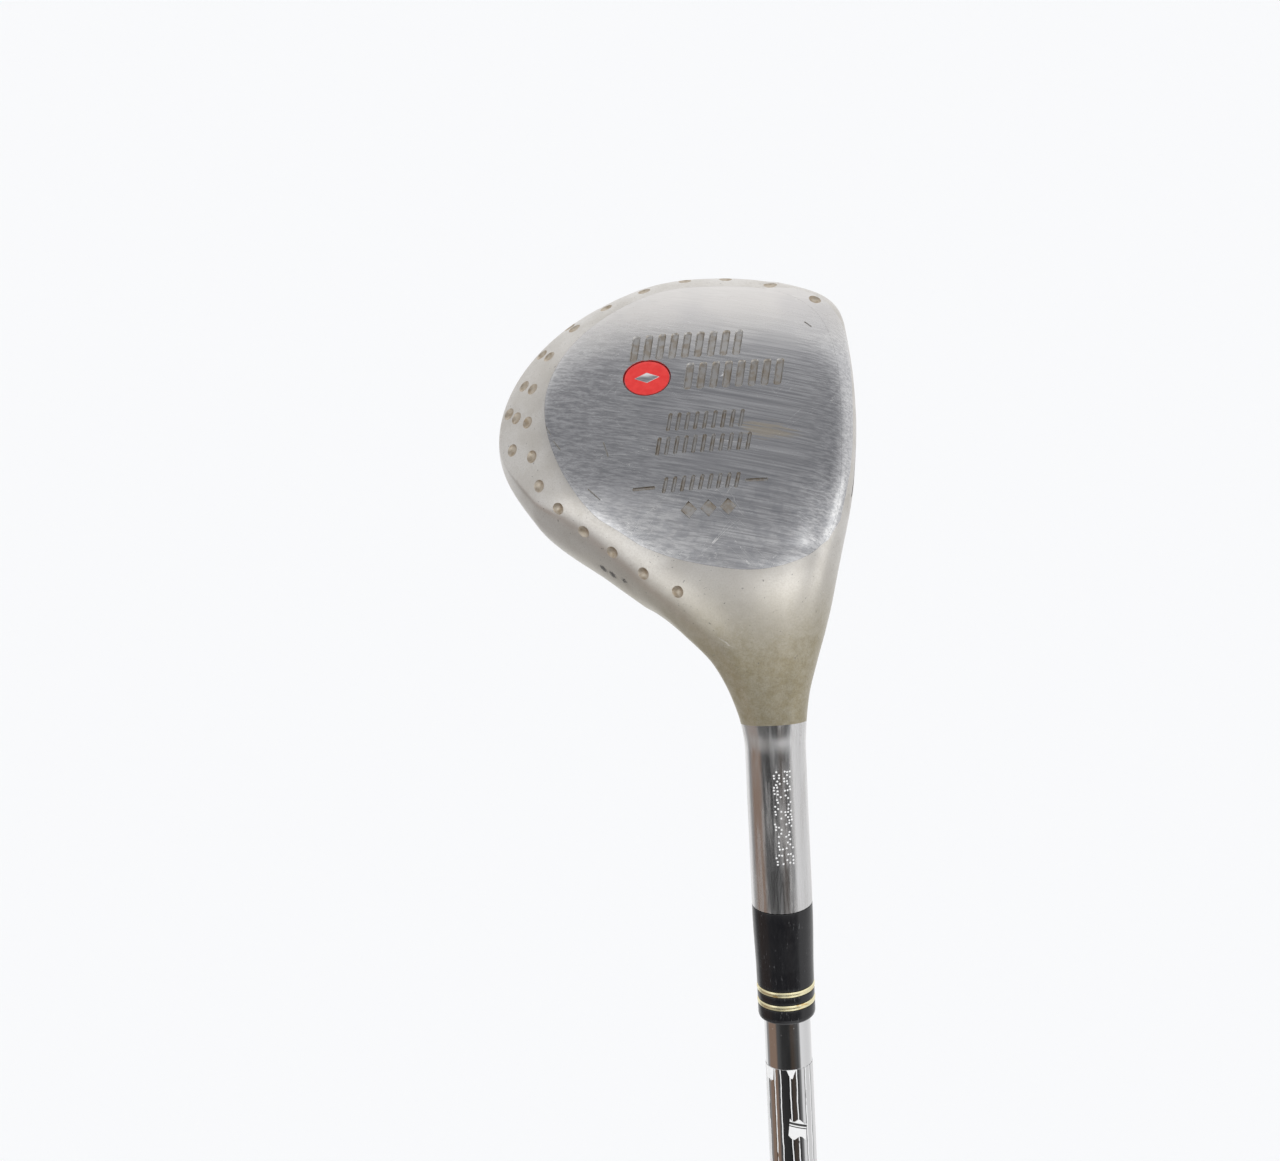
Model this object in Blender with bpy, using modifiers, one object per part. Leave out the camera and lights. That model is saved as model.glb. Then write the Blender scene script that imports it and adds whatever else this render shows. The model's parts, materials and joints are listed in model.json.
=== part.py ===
"""Fairway wood: hollow steel head, ferrule, stepped steel shaft, rubber grip.

Frame: metres, +Z up. The club stands on its butt with the shaft axis on Z, so the
origin is the centre of the grip cap's end face. The face looks along +X.
"""
import math

import bmesh
import bpy
from mathutils import Matrix, Vector
from mathutils.bvhtree import BVHTree

MM = 0.001

# ---------------------------------------------------------------- driving dimensions (mm)
CLUB_LENGTH = 1092.0         # butt end to where the shaft axis meets the ground plane
LIE = math.radians(56.0)     # between shaft axis and ground
LOFT = math.radians(13.0)
FIT_GAP = 0.3                # between pieces that touch
BOND_GAP = 0.12              # between pieces that are glued

# head: spine from the hosel axis round a bend to the heel-toe line
SPINE_DEPTH = 15.0           # heel-toe line above the sole plane
BEND_RADIUS = 28.0
MIDDLE = 34.8                # widest section, from the heel datum towards the toe
TOE = 66.3                   # toe end, from the heel datum
NOSE_SIDE = -9.0             # toe end's offset from the shaft plane
NOSE_DROP = 6.0              # toe end's offset from the spine towards the sole
NOSE_CLOSE = (0.85, 1.0)     # share of the toe's reach over which the rim runs into the nose
TOE_REACH = 40.4             # half width of the toe arc in front of the nose
TOE_CORNER = 9.0             # rounding between toe arc and face
TOE_POWER = 2.6              # how square the front of the toe end is
SOLE_END = 2.4               # how square the sole runs into the toe
FACE_FRONT = 15.9            # face at mid height, in front of the shaft plane
FACE_BULGE = 500.0
BULGE_CENTRE = 6.0           # the bulge's peak, from the widest section towards the toe
WALL = 2.6
SOLE_PLATE = 1.6
SOLE_LEDGE = 3.0
PLATE_DEPTH = 5.5            # deepest the sole plate's edge reaches from the sole plane
CAVITY_START = 22.0          # along the spine
NECK_START = -4.0            # along the spine, where the hosel starts to swell
LOFT_PLACES = (12.0, 40.0)   # the face turns to its loft between these places on the spine
TOE_ROUND = 1.92             # how square the toe's plan and crown run out
TOE_FRONT_TURN = (0.2, 1.0)  # share of the toe's reach over which its front takes TOE_POWER
DROP_LIMIT = 0.7             # most the back edge drops, as a share of the sole's half size

# hosel and what is bonded in it
HOSEL_RADIUS = 5.55
HOSEL_END = 68.2             # heel datum to hosel end, along the shaft
BORE_RADIUS = 4.75
BORE_DEPTH = 34.0
BORE_RUNOUT = 5.0            # how far the bore's cutter starts outside the hosel
GLUE_START = 1.0             # inside the hosel's mouth
SHAFT_TIP = 4.25             # tip radius, 0.335 in shaft
TIP_LENGTH = 32.5            # of the shaft inside the hosel

# shaft
SHAFT_BUTT = 7.62            # butt radius, 0.600 in
SHAFT_WALL = 0.55
SHAFT_START = 3.3            # shaft's butt above the cap's end face
STEP_COUNT = 17
STEP_LENGTH = 38.0
FIRST_STEP = 230.0           # from the shaft's tip
STEP_RAMP = 1.2              # length of the slope at each step
TIP_CHAMFER = (0.3, 0.5)     # off the radius, along the shaft
WEIGHT_DEPTH = 1.0           # swing weight's end, inside the shaft's tip
WEIGHT_LENGTH = 12.0
PLUG_LENGTH = 12.7
BAND_START = 9.7             # printed film, from the ferrule's end
BAND_LENGTH = 95.0
FILM = 0.12

# ferrule and its two trim rings, measured from the hosel end down the shaft
FERRULE_LENGTH = 22.8
FERRULE_WAIST = 0.3          # off the radius, gained over the stretch below
FERRULE_TAPER = (3.0, 15.0)
FERRULE_STATIONS = (3.0, 7.0, 11.0)
FERRULE_NOSE = ((0.9, 0.0), (0.35, 0.12), (0.0, 0.45))   # above the low end, off the radius
RING_STARTS = (16.0, 18.7)
RING_WIDTH = 1.25
RING_DEPTH = 0.7
RING_PROUD = 0.06
RING_TURN = math.radians(358.0)
RING_JOINT = math.radians(-79.0)
RING_STEPS = 48

# grip
GRIP_LENGTH = 267.0
GRIP_BUTT = 13.4
GRIP_MOUTH = 9.4
GRIP_CURVE = 0.45            # how much faster it thins near the butt
GRIP_BANDS = 7
GRIP_TOP_BAND = 20.0         # first and last of those bands, from the grip's ends
GRIP_LOW_BAND = 8.0
GRIP_FLARE = ((3.0, 0.5), (1.0, 0.6), (0.0, 0.3))        # above the low end, onto the radius
MOUTH_EDGE = 0.6             # rounding of the grip's mouth
MOUTH_BEAD = (0.8, 4.0)      # the bead's ends, from the mouth
MOUTH_GROOVE = (4.6, 6.0)    # the groove after it
MOUTH_GROOVE_DEPTH = 0.5
TAPE = 0.25
TAPE_START = 8.3             # above the cap's end face
TAPE_SHORT = 40.0            # how far the tape ends inside the grip's mouth
CAP_THICKNESS = 3.0
CAP_RIM = 0.9                # beyond the grip's butt radius
CAP_EDGE = ((0.3, 3.0), (0.0, 2.5), (0.0, 1.2), (0.4, 0.4), (1.4, 0.0))   # off the rim, height
SPIGOT_TOP = 11.0
SPIGOT_CHAMFER = 0.4
VENT = 1.2

# sole plate outline in the sole plane, (in front of the shaft, towards the toe)
SOLE_OUTLINE = (
    (-7.0, 62.0), (-17.4, 61.2), (-27.5, 56.2), (-35.0, 49.0), (-39.0, 40.0), (-38.4, 29.5),
    (-33.6, 18.4), (-25.5, 10.2), (-14.8, 4.0), (-3.0, 0.8), (6.6, 2.8), (12.0, 9.0),
    (14.2, 19.0), (14.8, 34.0), (14.2, 46.0), (11.0, 55.0), (3.5, 60.4),
)
SOLE_EDGE = 2.7              # the outline's mean level above the sole plane
SKIRT_SLOPE = math.tan(math.radians(46.0))
SKIRT_SOFT = 1.6             # rounding where the skirt leaves the sole
SKIRT_PLACES = (20.0, 33.0)  # the skirt sets in between these places on the spine
SKIRT_SIDE = 0.3             # how far to the front sections before the middle are lowered
SKIRT_FRONT = (13.0, 2.0)    # and ends between these lines near the face
SKIRT_FADE = 8.0             # how far it stands off the sole where it ends
BADGE_CENTRE = (-20.3, 41.2)
BADGE_HALF = (4.2, 3.65)     # the oval badge's half axes
BADGE_POCKET = 0.9
BADGE_LEVEL = -0.7           # sole surface at the badge, from the sole plane
BADGE_TILT = (math.radians(-1.7), math.radians(-5.0))    # about the datum's X and Y
BADGE_TOP = 0.12             # below the sole's surface
BADGE_BOND = 0.15            # round and below the badge

# fineness of the head's lofts: points round a section, and the sections' spacing
SHELL_GRID = (48, 4.0)
CORE_GRID = (32, 6.0)
PLATE_START = 12.0           # along the spine, where the sole plate's blank starts
HOLLOW_START = 10.0          # and where the shapes that hollow it start
PRISM_REACH = 12.0           # how far the sole's prisms reach on each side of its plane

DIMPLE_WIDTH = 2.4
DIMPLE_DEPTH = 0.4
DIMPLE_PLACES = (            # a long row beside the sole plate, then two short ones further out
    (11.1, 58.1, -3.8), (3.1, 62.2, -4.5), (-5.0, 64.9, -6.1), (-12.5, 64.7, -6.1),
    (-20.0, 62.5, -5.4), (-27.1, 59.6, -5.7), (-33.1, 55.8, -6.2), (-38.0, 49.9, -5.9),
    (-41.3, 43.1, -5.9), (-42.5, 36.1, -6.1), (-42.0, 29.0, -6.5), (-40.9, 23.2, -7.4),
    (-37.6, 18.1, -7.3), (-33.2, 13.5, -8.2), (-28.1, 9.0, -8.5), (-22.6, 4.1, -8.4),
    (-16.5, -0.6, -7.5),
    (-12.2, 66.6, -8.0), (-20.9, 64.8, -8.0), (-28.1, 61.4, -8.0), (-34.0, 57.3, -8.0),
    (-39.3, 51.6, -8.0), (-42.8, 45.0, -7.9), (-44.5, 38.4, -8.1), (-45.5, 32.3, -9.4),
    (-45.8, 40.3, -9.7),
)

# Cross sections along the spine, from the hosel end to the widest section:
# place, back, front, sole, crown, drop of the back edge, power of back, power of front.
SECTIONS = (
    (-35.3, 5.55, 5.55, 5.55, 5.55, 0.0, 2.0, 2.0),
    (-4.0, 5.55, 5.55, 5.55, 5.55, 0.0, 2.0, 2.0),
    (1.0, 6.1, 5.9, 5.8, 5.8, 0.0, 2.0, 2.0),
    (6.0, 7.5, 6.6, 6.4, 6.6, 0.2, 2.0, 2.0),
    (12.0, 10.4, 8.3, 8.0, 8.2, 0.8, 2.0, 2.1),
    (18.0, 15.8, 10.2, 10.2, 10.6, 1.4, 2.0, 2.4),
    (24.0, 21.8, 11.8, 12.0, 13.2, 2.0, 2.1, 2.8),
    (33.0, 31.0, 13.5, 13.7, 16.6, 2.6, 2.3, 3.4),
    (44.0, 42.4, 15.1, 14.8, 18.6, 3.0, 2.5, 4.2),
    (57.4, 47.9, 15.9, 15.0, 19.4, 3.0, 2.6, 4.6),
)

HEEL_DATUM = Matrix.Translation((0, 0, CLUB_LENGTH * MM)) @ Matrix.Rotation(math.pi / 2 - LIE, 4, "X")
TO_HEEL_DATUM = HEEL_DATUM.inverted()


# ---------------------------------------------------------------- scene helpers
def clear_scene():
    for old in list(bpy.data.objects):
        bpy.data.objects.remove(old, do_unlink=True)


def new_collection(name):
    group = bpy.data.collections.new(name)
    bpy.context.scene.collection.children.link(group)
    return group


def make_material(name, colour, roughness, metallic):
    material = bpy.data.materials.new(name)
    material.use_nodes = True
    shader = material.node_tree.nodes["Principled BSDF"]
    shader.inputs["Base Color"].default_value = (*colour, 1.0)
    shader.inputs["Roughness"].default_value = roughness
    shader.inputs["Metallic"].default_value = metallic
    material.diffuse_color = (*colour, 1.0)
    return material


def add_object(name, mesh, group, material=None):
    thing = bpy.data.objects.new(name, mesh)
    group.objects.link(thing)
    if material:
        mesh.materials.append(material)
    return thing


def mesh_from(name, bm):
    bmesh.ops.recalc_face_normals(bm, faces=bm.faces)
    mesh = bpy.data.meshes.new(name)
    bm.to_mesh(mesh)
    bm.free()
    return mesh


def smooth(thing, angle=35.0):
    thing.data.shade_smooth()
    thing.data.set_sharp_from_angle(angle=math.radians(angle))


def hide_cutter(cutter):
    cutter.hide_render = True
    cutter.display_type = "WIRE"


def cut(target, cutter, operation="DIFFERENCE"):
    boolean = target.modifiers.new(operation.lower() + "_" + cutter.name, "BOOLEAN")
    boolean.operation = operation
    boolean.solver = "EXACT"
    boolean.object = cutter


def turned(name, profile, group, material=None, steps=32):
    """A profile of (radius, height) in mm, turned about Z: it runs down its outer side."""
    mesh = bpy.data.meshes.new(name)
    points = [(radius * MM, 0.0, height * MM) for radius, height in profile]
    edges = [(i, i + 1) for i in range(len(points) - 1)]
    on_axis = profile[0][0] == 0.0 and profile[-1][0] == 0.0
    if not on_axis:
        edges.append((len(points) - 1, 0))
    mesh.from_pydata(points, edges, [])
    thing = add_object(name, mesh, group, material)
    screw = thing.modifiers.new("turn", "SCREW")
    screw.axis = "Z"
    screw.steps = steps
    screw.render_steps = steps
    screw.use_smooth_shade = True
    screw.use_merge_vertices = True
    screw.merge_threshold = 0.00001
    return thing


def rod(radius, low, high):
    """Profile of a solid round bar."""
    return [(0.0, high), (radius, high), (radius, low), (0.0, low)]


def tube(outer, inner, low, high):
    """Profile of a straight tube."""
    return [(outer, high), (outer, low), (inner, low), (inner, high)]


# ---------------------------------------------------------------- sole outline
def closed_curve(points, count):
    """Points of a closed Catmull-Rom curve through the given ones."""
    total = len(points)
    curve = []
    for k in range(count):
        i, x = divmod(k * total / count, 1.0)
        p0, p1, p2, p3 = (Vector(points[(int(i) + j) % total]) for j in (-1, 0, 1, 2))
        curve.append(0.5 * (2 * p1 + (p2 - p0) * x + (2 * p0 - 5 * p1 + 4 * p2 - p3) * x * x
                            + (3 * p1 - p0 - 3 * p2 + p3) * x ** 3))
    return curve


def sole_outline(margin, count=68):
    """Plan of the sole plate drawn in by margin, in the heel datum's plane."""
    curve = closed_curve(SOLE_OUTLINE, count)
    drawn_in = []
    for k, point in enumerate(curve):
        along = (curve[(k + 1) % count] - curve[k - 1]).normalized()
        drawn_in.append(point + Vector((-along.y, along.x)) * margin)
    return drawn_in


SOLE_CURVE = closed_curve(SOLE_OUTLINE, 136)


def outside_sole(x, y):
    """Distance of a plan point outside the sole outline; negative inside it."""
    point = Vector((x, y))
    k = min(range(len(SOLE_CURVE)), key=lambda i: (SOLE_CURVE[i] - point).length_squared)
    before, here, after = SOLE_CURVE[k - 1], SOLE_CURVE[k], SOLE_CURVE[(k + 1) % len(SOLE_CURVE)]
    along = (after - before).normalized()
    return (point - here).dot(Vector((along.y, -along.x)))


# ---------------------------------------------------------------- head shape
def ease(low, high, value):
    """Smooth step from 0 at low to 1 at high."""
    x = min(1.0, max(0.0, (value - low) / (high - low)))
    return x * x * (3.0 - 2.0 * x)


def soft_minimum(a, b, width):
    x = max(width - abs(a - b), 0.0) / width
    return min(a, b) - x * x * width * 0.25


def slope_at(rows, i, column):
    if i == 0 or i == len(rows) - 1:
        return 0.0
    before, here, after = rows[i - 1], rows[i], rows[i + 1]
    left = (here[column] - before[column]) / (here[0] - before[0])
    right = (after[column] - here[column]) / (after[0] - here[0])
    if left * right <= 0.0:
        return 0.0
    return 2.0 * left * right / (left + right)


def read_sections(place):
    """All columns of SECTIONS at a place on the spine, by monotone cubic curves."""
    rows = SECTIONS
    place = min(max(place, rows[0][0]), rows[-1][0])
    i = max(k for k in range(len(rows) - 1) if rows[k][0] <= place)
    low, high = rows[i], rows[i + 1]
    span = high[0] - low[0]
    x = (place - low[0]) / span
    values = []
    for column in range(1, len(low)):
        a, b = low[column], high[column]
        da = slope_at(rows, i, column) * span
        db = slope_at(rows, i + 1, column) * span
        values.append(a + x * (da + x * (3 * (b - a) - 2 * da - db + x * (2 * (a - b) + da + db))))
    return values


BEND_LENGTH = BEND_RADIUS * LIE
BEND_START = -SPINE_DEPTH / math.sin(LIE) - BEND_RADIUS * math.tan(LIE / 2)
STRAIGHT_START = -SPINE_DEPTH / math.tan(LIE) + BEND_RADIUS * math.tan(LIE / 2)
MIDDLE_PLACE = BEND_LENGTH + MIDDLE - STRAIGHT_START
TOE_PLACE = BEND_LENGTH + TOE - STRAIGHT_START


def spine(place):
    """Point on the spine and its turn from the shaft axis, in the shaft's YZ plane (mm)."""
    turn = min(max(place, 0.0), BEND_LENGTH) / BEND_RADIUS
    y = BEND_RADIUS * (1.0 - math.cos(turn))
    z = CLUB_LENGTH + BEND_START + BEND_RADIUS * math.sin(turn)
    run = min(place, 0.0) + max(place - BEND_LENGTH, 0.0)
    return y + run * math.sin(turn), z + run * math.cos(turn), turn


def section_size(place, inset):
    """Half sizes and middle of the cross section at a place, drawn in by inset."""
    back, front, sole, crown, drop, back_power, front_power = read_sections(place)
    side = 0.0
    middle = 0.0
    shrink = inset
    if place > MIDDLE_PLACE:
        run = place - MIDDLE_PLACE
        reach = min(run / (TOE_PLACE - inset - MIDDLE_PLACE), 1.0)
        round_end = (1.0 - reach ** TOE_ROUND) ** (1 / TOE_ROUND)
        side = NOSE_SIDE * ease(0.0, 1.0, reach)
        middle = NOSE_DROP * ease(0.0, 1.0, reach)
        shrink = inset * round_end
        face = FACE_FRONT - (run - BULGE_CENTRE) ** 2 / (2 * FACE_BULGE)
        toe_arc = NOSE_SIDE + TOE_REACH * round_end
        front = soft_minimum(face, toe_arc, TOE_CORNER * round_end + 0.01) - side
        back = (back + NOSE_SIDE) * round_end - NOSE_SIDE + side
        sole = NOSE_DROP + (sole - NOSE_DROP) * (1.0 - reach ** SOLE_END) ** (1 / SOLE_END) - middle
        crown = (crown + NOSE_DROP) * round_end - NOSE_DROP + middle
        drop = (drop - middle) * (1.0 - ease(*NOSE_CLOSE, reach))
        front_power += (TOE_POWER - front_power) * ease(*TOE_FRONT_TURN, reach)
    sizes = [max(size - shrink, 0.0) for size in (back, front, sole, crown)]
    return sizes, side, middle, drop, back_power, front_power


def section(place, inset, count):
    """One closed cross section of the head, drawn in by inset, as world points."""
    (back, front, sole, crown), side, middle, drop, back_power, front_power = section_size(place, inset)
    y0, z0, turn = spine(place)
    points = []
    for k in range(count):
        angle = 2 * math.pi * k / count
        c, s = math.cos(angle), math.sin(angle)
        power = front_power if c > 0 else back_power
        x = abs(c) ** (2 / power)
        lift = abs(s) ** (2 / power)
        if c > 0:
            v = lift * (sole if s > 0 else -crown)
            u = x * front + math.tan(LOFT) * v * x * ease(*LOFT_PLACES, place)
        else:
            edge = min(drop, DROP_LIMIT * sole) * x * x
            v = edge + lift * (sole - edge if s > 0 else -crown - edge)
            u = -x * back
        v += middle
        point = Vector((u + side, y0 - v * math.cos(turn), z0 + v * math.sin(turn))) * MM
        strength = ease(*SKIRT_PLACES, place)
        skirt_side = s > 0 and (c < SKIRT_SIDE or place > MIDDLE_PLACE)
        points.append(skirt_cut(point, inset, strength) if skirt_side and strength > 0 else point)
    return points


def skirt_cut(point, inset, strength):
    """Lowers a point of the sole side to the skirt, which slopes away from the sole plate."""
    local = (TO_HEEL_DATUM @ point) / MM
    away = outside_sole(local.x, local.y)
    strength *= ease(*SKIRT_FRONT, local.x)
    limit = -SOLE_EDGE - inset - SKIRT_SLOPE * away * strength + SKIRT_FADE * (1.0 - strength)
    local.z = soft_minimum(local.z, limit, SKIRT_SOFT)
    return HEEL_DATUM @ (local * MM)


def head_loft(name, inset, start, grid_size, group):
    """Closed solid of the head's outer shape drawn in by inset, from start to the toe."""
    count, spacing = grid_size
    end = TOE_PLACE - inset
    places = [start]
    if start < 0.0:
        places += [start / 2, NECK_START]
    steps = round((MIDDLE_PLACE - NECK_START) / spacing)
    for k in range(1, steps + 1):
        place = NECK_START + (MIDDLE_PLACE - NECK_START) * k / steps
        if place > places[-1] + spacing / 3:
            places.append(place)
    toe_rings = round(1.5 * (end - MIDDLE_PLACE) / spacing)
    for k in range(1, toe_rings):
        places.append(MIDDLE_PLACE + (end - MIDDLE_PLACE) * math.sin(math.pi / 2 * k / toe_rings))
    bm = bmesh.new()
    rings = [[bm.verts.new(p) for p in section(place, inset, count)] for place in places]
    for lower, upper in zip(rings, rings[1:]):
        for k in range(count):
            bm.faces.new((lower[k], lower[(k + 1) % count], upper[(k + 1) % count], upper[k]))
    bm.faces.new(rings[0])
    y0, z0, turn = spine(end)
    nose = Vector((NOSE_SIDE, y0 - NOSE_DROP * math.cos(turn), z0 + NOSE_DROP * math.sin(turn)))
    tip = bm.verts.new(nose * MM)
    for k in range(count):
        bm.faces.new((rings[-1][k], rings[-1][(k + 1) % count], tip))
    return add_object(name, mesh_from(name, bm), group)


def sole_prism(name, margin, low, high, group):
    """The sole plate's plan, extruded square to the sole plane from low to high."""
    bm = bmesh.new()
    outline = sole_outline(margin)
    bottom = [bm.verts.new((x * MM, y * MM, low * MM)) for x, y in outline]
    face = bm.faces.new(bottom)
    raised = bmesh.ops.extrude_face_region(bm, geom=[face])
    moved = [item for item in raised["geom"] if isinstance(item, bmesh.types.BMVert)]
    bmesh.ops.translate(bm, verts=moved, vec=(0, 0, (high - low) * MM))
    prism = add_object(name, mesh_from(name, bm), group)
    prism.matrix_world = HEEL_DATUM
    return prism


# ---------------------------------------------------------------- materials
def make_materials():
    return {
        "blasted_steel": make_material("blasted_steel", (0.55, 0.53, 0.50), 0.42, 1.0),
        "brushed_steel": make_material("brushed_steel", (0.50, 0.50, 0.51), 0.30, 1.0),
        "red_enamel": make_material("red_enamel", (0.75, 0.03, 0.03), 0.25, 0.0),
        "foam": make_material("foam", (0.75, 0.68, 0.45), 0.9, 0.0),
        "epoxy": make_material("epoxy", (0.70, 0.62, 0.40), 0.4, 0.0),
        "cork": make_material("cork", (0.55, 0.38, 0.22), 0.9, 0.0),
        "lead": make_material("lead", (0.30, 0.30, 0.32), 0.6, 1.0),
        "black_plastic": make_material("black_plastic", (0.012, 0.012, 0.013), 0.18, 0.0),
        "gold": make_material("gold", (0.80, 0.62, 0.25), 0.22, 1.0),
        "chrome": make_material("chrome", (0.72, 0.72, 0.73), 0.08, 1.0),
        "print_film": make_material("print_film", (0.45, 0.45, 0.46), 0.15, 0.6),
        "tape": make_material("tape", (0.78, 0.70, 0.52), 0.8, 0.0),
        "rubber": make_material("rubber", (0.02, 0.02, 0.02), 0.75, 0.0),
        "cap_plastic": make_material("cap_plastic", (0.03, 0.03, 0.03), 0.4, 0.0),
    }


# ---------------------------------------------------------------- head pieces
def make_head(parts, cutters, looks):
    hosel_end_place = -HOSEL_END - BEND_START
    body = head_loft("head_body", 0.0, hosel_end_place, SHELL_GRID, parts)
    body.data.materials.append(looks["blasted_steel"])

    plate = head_loft("sole_plate", 0.0, PLATE_START, SHELL_GRID, parts)
    plate.data.materials.append(looks["brushed_steel"])

    cavity = head_loft("cavity_cutter", WALL, CAVITY_START, CORE_GRID, cutters)
    recess = sole_prism("recess_cutter", 0.0, -PLATE_DEPTH, PRISM_REACH, cutters)
    recess_floor = head_loft("recess_floor", SOLE_PLATE + FIT_GAP, HOLLOW_START, SHELL_GRID, cutters)
    cut(recess, recess_floor)
    opening = sole_prism("opening_cutter", SOLE_LEDGE, -PRISM_REACH, PRISM_REACH, cutters)
    mouth = CLUB_LENGTH - HOSEL_END
    bore = turned("bore_cutter", rod(BORE_RADIUS, mouth - BORE_RUNOUT, mouth + BORE_DEPTH), cutters)
    for cutter in (cavity, recess, opening, bore):
        cut(body, cutter)

    plate_plan = sole_prism("plate_plan", FIT_GAP, FIT_GAP - PLATE_DEPTH, PRISM_REACH, cutters)
    plate_inside = head_loft("plate_inside", SOLE_PLATE, HOLLOW_START, SHELL_GRID, cutters)
    pocket = badge_disc("badge_pocket", BADGE_BOND, -BADGE_POCKET, PRISM_REACH, cutters)
    cut(plate, plate_plan, "INTERSECT")
    cut(plate, plate_inside)
    cut(plate, pocket)

    badge = badge_disc("sole_badge", 0.0, BADGE_BOND - BADGE_POCKET, -BADGE_TOP, parts)
    badge.data.materials.append(looks["red_enamel"])

    foam = head_loft("foam_core", WALL + 2 * FIT_GAP, CAVITY_START + 2 * FIT_GAP, CORE_GRID, parts)
    foam.data.materials.append(looks["foam"])

    make_dimples(body, cutters)
    for thing in (cavity, recess, recess_floor, opening, bore, plate_plan, plate_inside, pocket):
        hide_cutter(thing)
    for thing in (body, plate, foam):
        smooth(thing)


def badge_disc(name, margin, low, high, group):
    """An oval disc in the sole, its height counted from the sole's surface there."""
    bm = bmesh.new()
    bmesh.ops.create_cone(bm, cap_ends=True, segments=36, radius1=1.0, radius2=1.0, depth=1.0)
    half_x, half_y = BADGE_HALF
    size = ((half_x + margin) * MM, (half_y + margin) * MM, (high - low) * MM)
    bmesh.ops.scale(bm, verts=bm.verts, vec=size)
    bmesh.ops.translate(bm, verts=bm.verts, vec=(0, 0, (low + high) / 2 * MM))
    disc = add_object(name, mesh_from(name, bm), group)
    x, y = BADGE_CENTRE
    centre = (x * MM, y * MM, BADGE_LEVEL * MM)
    tilt = Matrix.Rotation(BADGE_TILT[0], 4, "X") @ Matrix.Rotation(BADGE_TILT[1], 4, "Y")
    disc.matrix_world = HEEL_DATUM @ Matrix.Translation(centre) @ tilt
    return disc


def make_dimples(body, cutters):
    """Shallow round dimples on the skirt, cut with balls."""
    bm = bmesh.new()
    bm.from_mesh(body.data)
    surface = BVHTree.FromBMesh(bm)
    ball = (DIMPLE_WIDTH ** 2 / 4 + DIMPLE_DEPTH ** 2) / (2 * DIMPLE_DEPTH)
    for index, place in enumerate(DIMPLE_PLACES):
        spot, normal, _, _ = surface.find_nearest(HEEL_DATUM @ (Vector(place) * MM))
        tool = bmesh.new()
        bmesh.ops.create_icosphere(tool, subdivisions=3, radius=ball * MM)
        cutter = add_object(f"dimple_{index:02d}", mesh_from("dimple", tool), cutters)
        cutter.location = spot + normal * (ball - DIMPLE_DEPTH) * MM
        hide_cutter(cutter)
        cut(body, cutter)
    bm.free()


# ---------------------------------------------------------------- shaft pieces
def make_shaft(parts, looks):
    tip = CLUB_LENGTH - HOSEL_END + TIP_LENGTH
    profile = [(SHAFT_TIP - TIP_CHAMFER[0], tip), (SHAFT_TIP, tip - TIP_CHAMFER[1])]
    rise = (SHAFT_BUTT - SHAFT_TIP) / STEP_COUNT
    for k in range(STEP_COUNT):
        height = tip - FIRST_STEP - k * STEP_LENGTH
        profile.append((SHAFT_TIP + k * rise, height))
        profile.append((SHAFT_TIP + (k + 1) * rise, height - STEP_RAMP))
    profile.append((SHAFT_BUTT, SHAFT_START))
    profile.append((SHAFT_BUTT - SHAFT_WALL, SHAFT_START))
    profile.append((SHAFT_BUTT - SHAFT_WALL, tip - FIRST_STEP - STEP_COUNT * STEP_LENGTH))
    profile.append((SHAFT_TIP - SHAFT_WALL, tip - FIRST_STEP))
    profile.append((SHAFT_TIP - SHAFT_WALL, tip))
    turned("shaft", profile, parts, looks["chrome"])

    inside = SHAFT_TIP - SHAFT_WALL - BOND_GAP
    weight_top = tip - WEIGHT_DEPTH
    weight_low = weight_top - WEIGHT_LENGTH
    turned("swing_weight", rod(inside, weight_low, weight_top), parts, looks["lead"], 24)
    plug_top = weight_low - FIT_GAP
    turned("tip_plug", rod(inside, plug_top - PLUG_LENGTH, plug_top), parts, looks["cork"], 24)

    glue_in = SHAFT_TIP + BOND_GAP
    glue_out = BORE_RADIUS - BOND_GAP
    glue = tube(glue_out, glue_in, CLUB_LENGTH - HOSEL_END + GLUE_START, tip - TIP_CHAMFER[1])
    turned("hosel_adhesive", glue, parts, looks["epoxy"])

    band_top = CLUB_LENGTH - HOSEL_END - FERRULE_LENGTH - BAND_START
    film_in = SHAFT_TIP + BOND_GAP
    band = tube(film_in + FILM, film_in, band_top - BAND_LENGTH, band_top)
    turned("shaft_band", band, parts, looks["print_film"])


def make_ferrule(parts, looks):
    top = CLUB_LENGTH - HOSEL_END - FIT_GAP / 2
    low = top - FERRULE_LENGTH
    inner = SHAFT_TIP + BOND_GAP

    def outer(depth):
        return HOSEL_RADIUS - FERRULE_WAIST * ease(*FERRULE_TAPER, depth)

    profile = [(HOSEL_RADIUS, top)]
    profile += [(outer(depth), top - depth) for depth in FERRULE_STATIONS]
    for start in RING_STARTS:
        radius = outer(start)
        profile += [(radius, top - start), (radius - RING_DEPTH, top - start),
                    (radius - RING_DEPTH, top - start - RING_WIDTH), (radius, top - start - RING_WIDTH)]
    profile += [(outer(FERRULE_LENGTH) - less, low + height) for height, less in FERRULE_NOSE]
    profile += [(inner, low), (inner, top)]
    turned("ferrule", profile, parts, looks["black_plastic"], 40)
    for name, start in zip(("trim_ring_upper", "trim_ring_lower"), RING_STARTS):
        make_trim_ring(name, top - start, outer(start), parts, looks["gold"])


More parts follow.
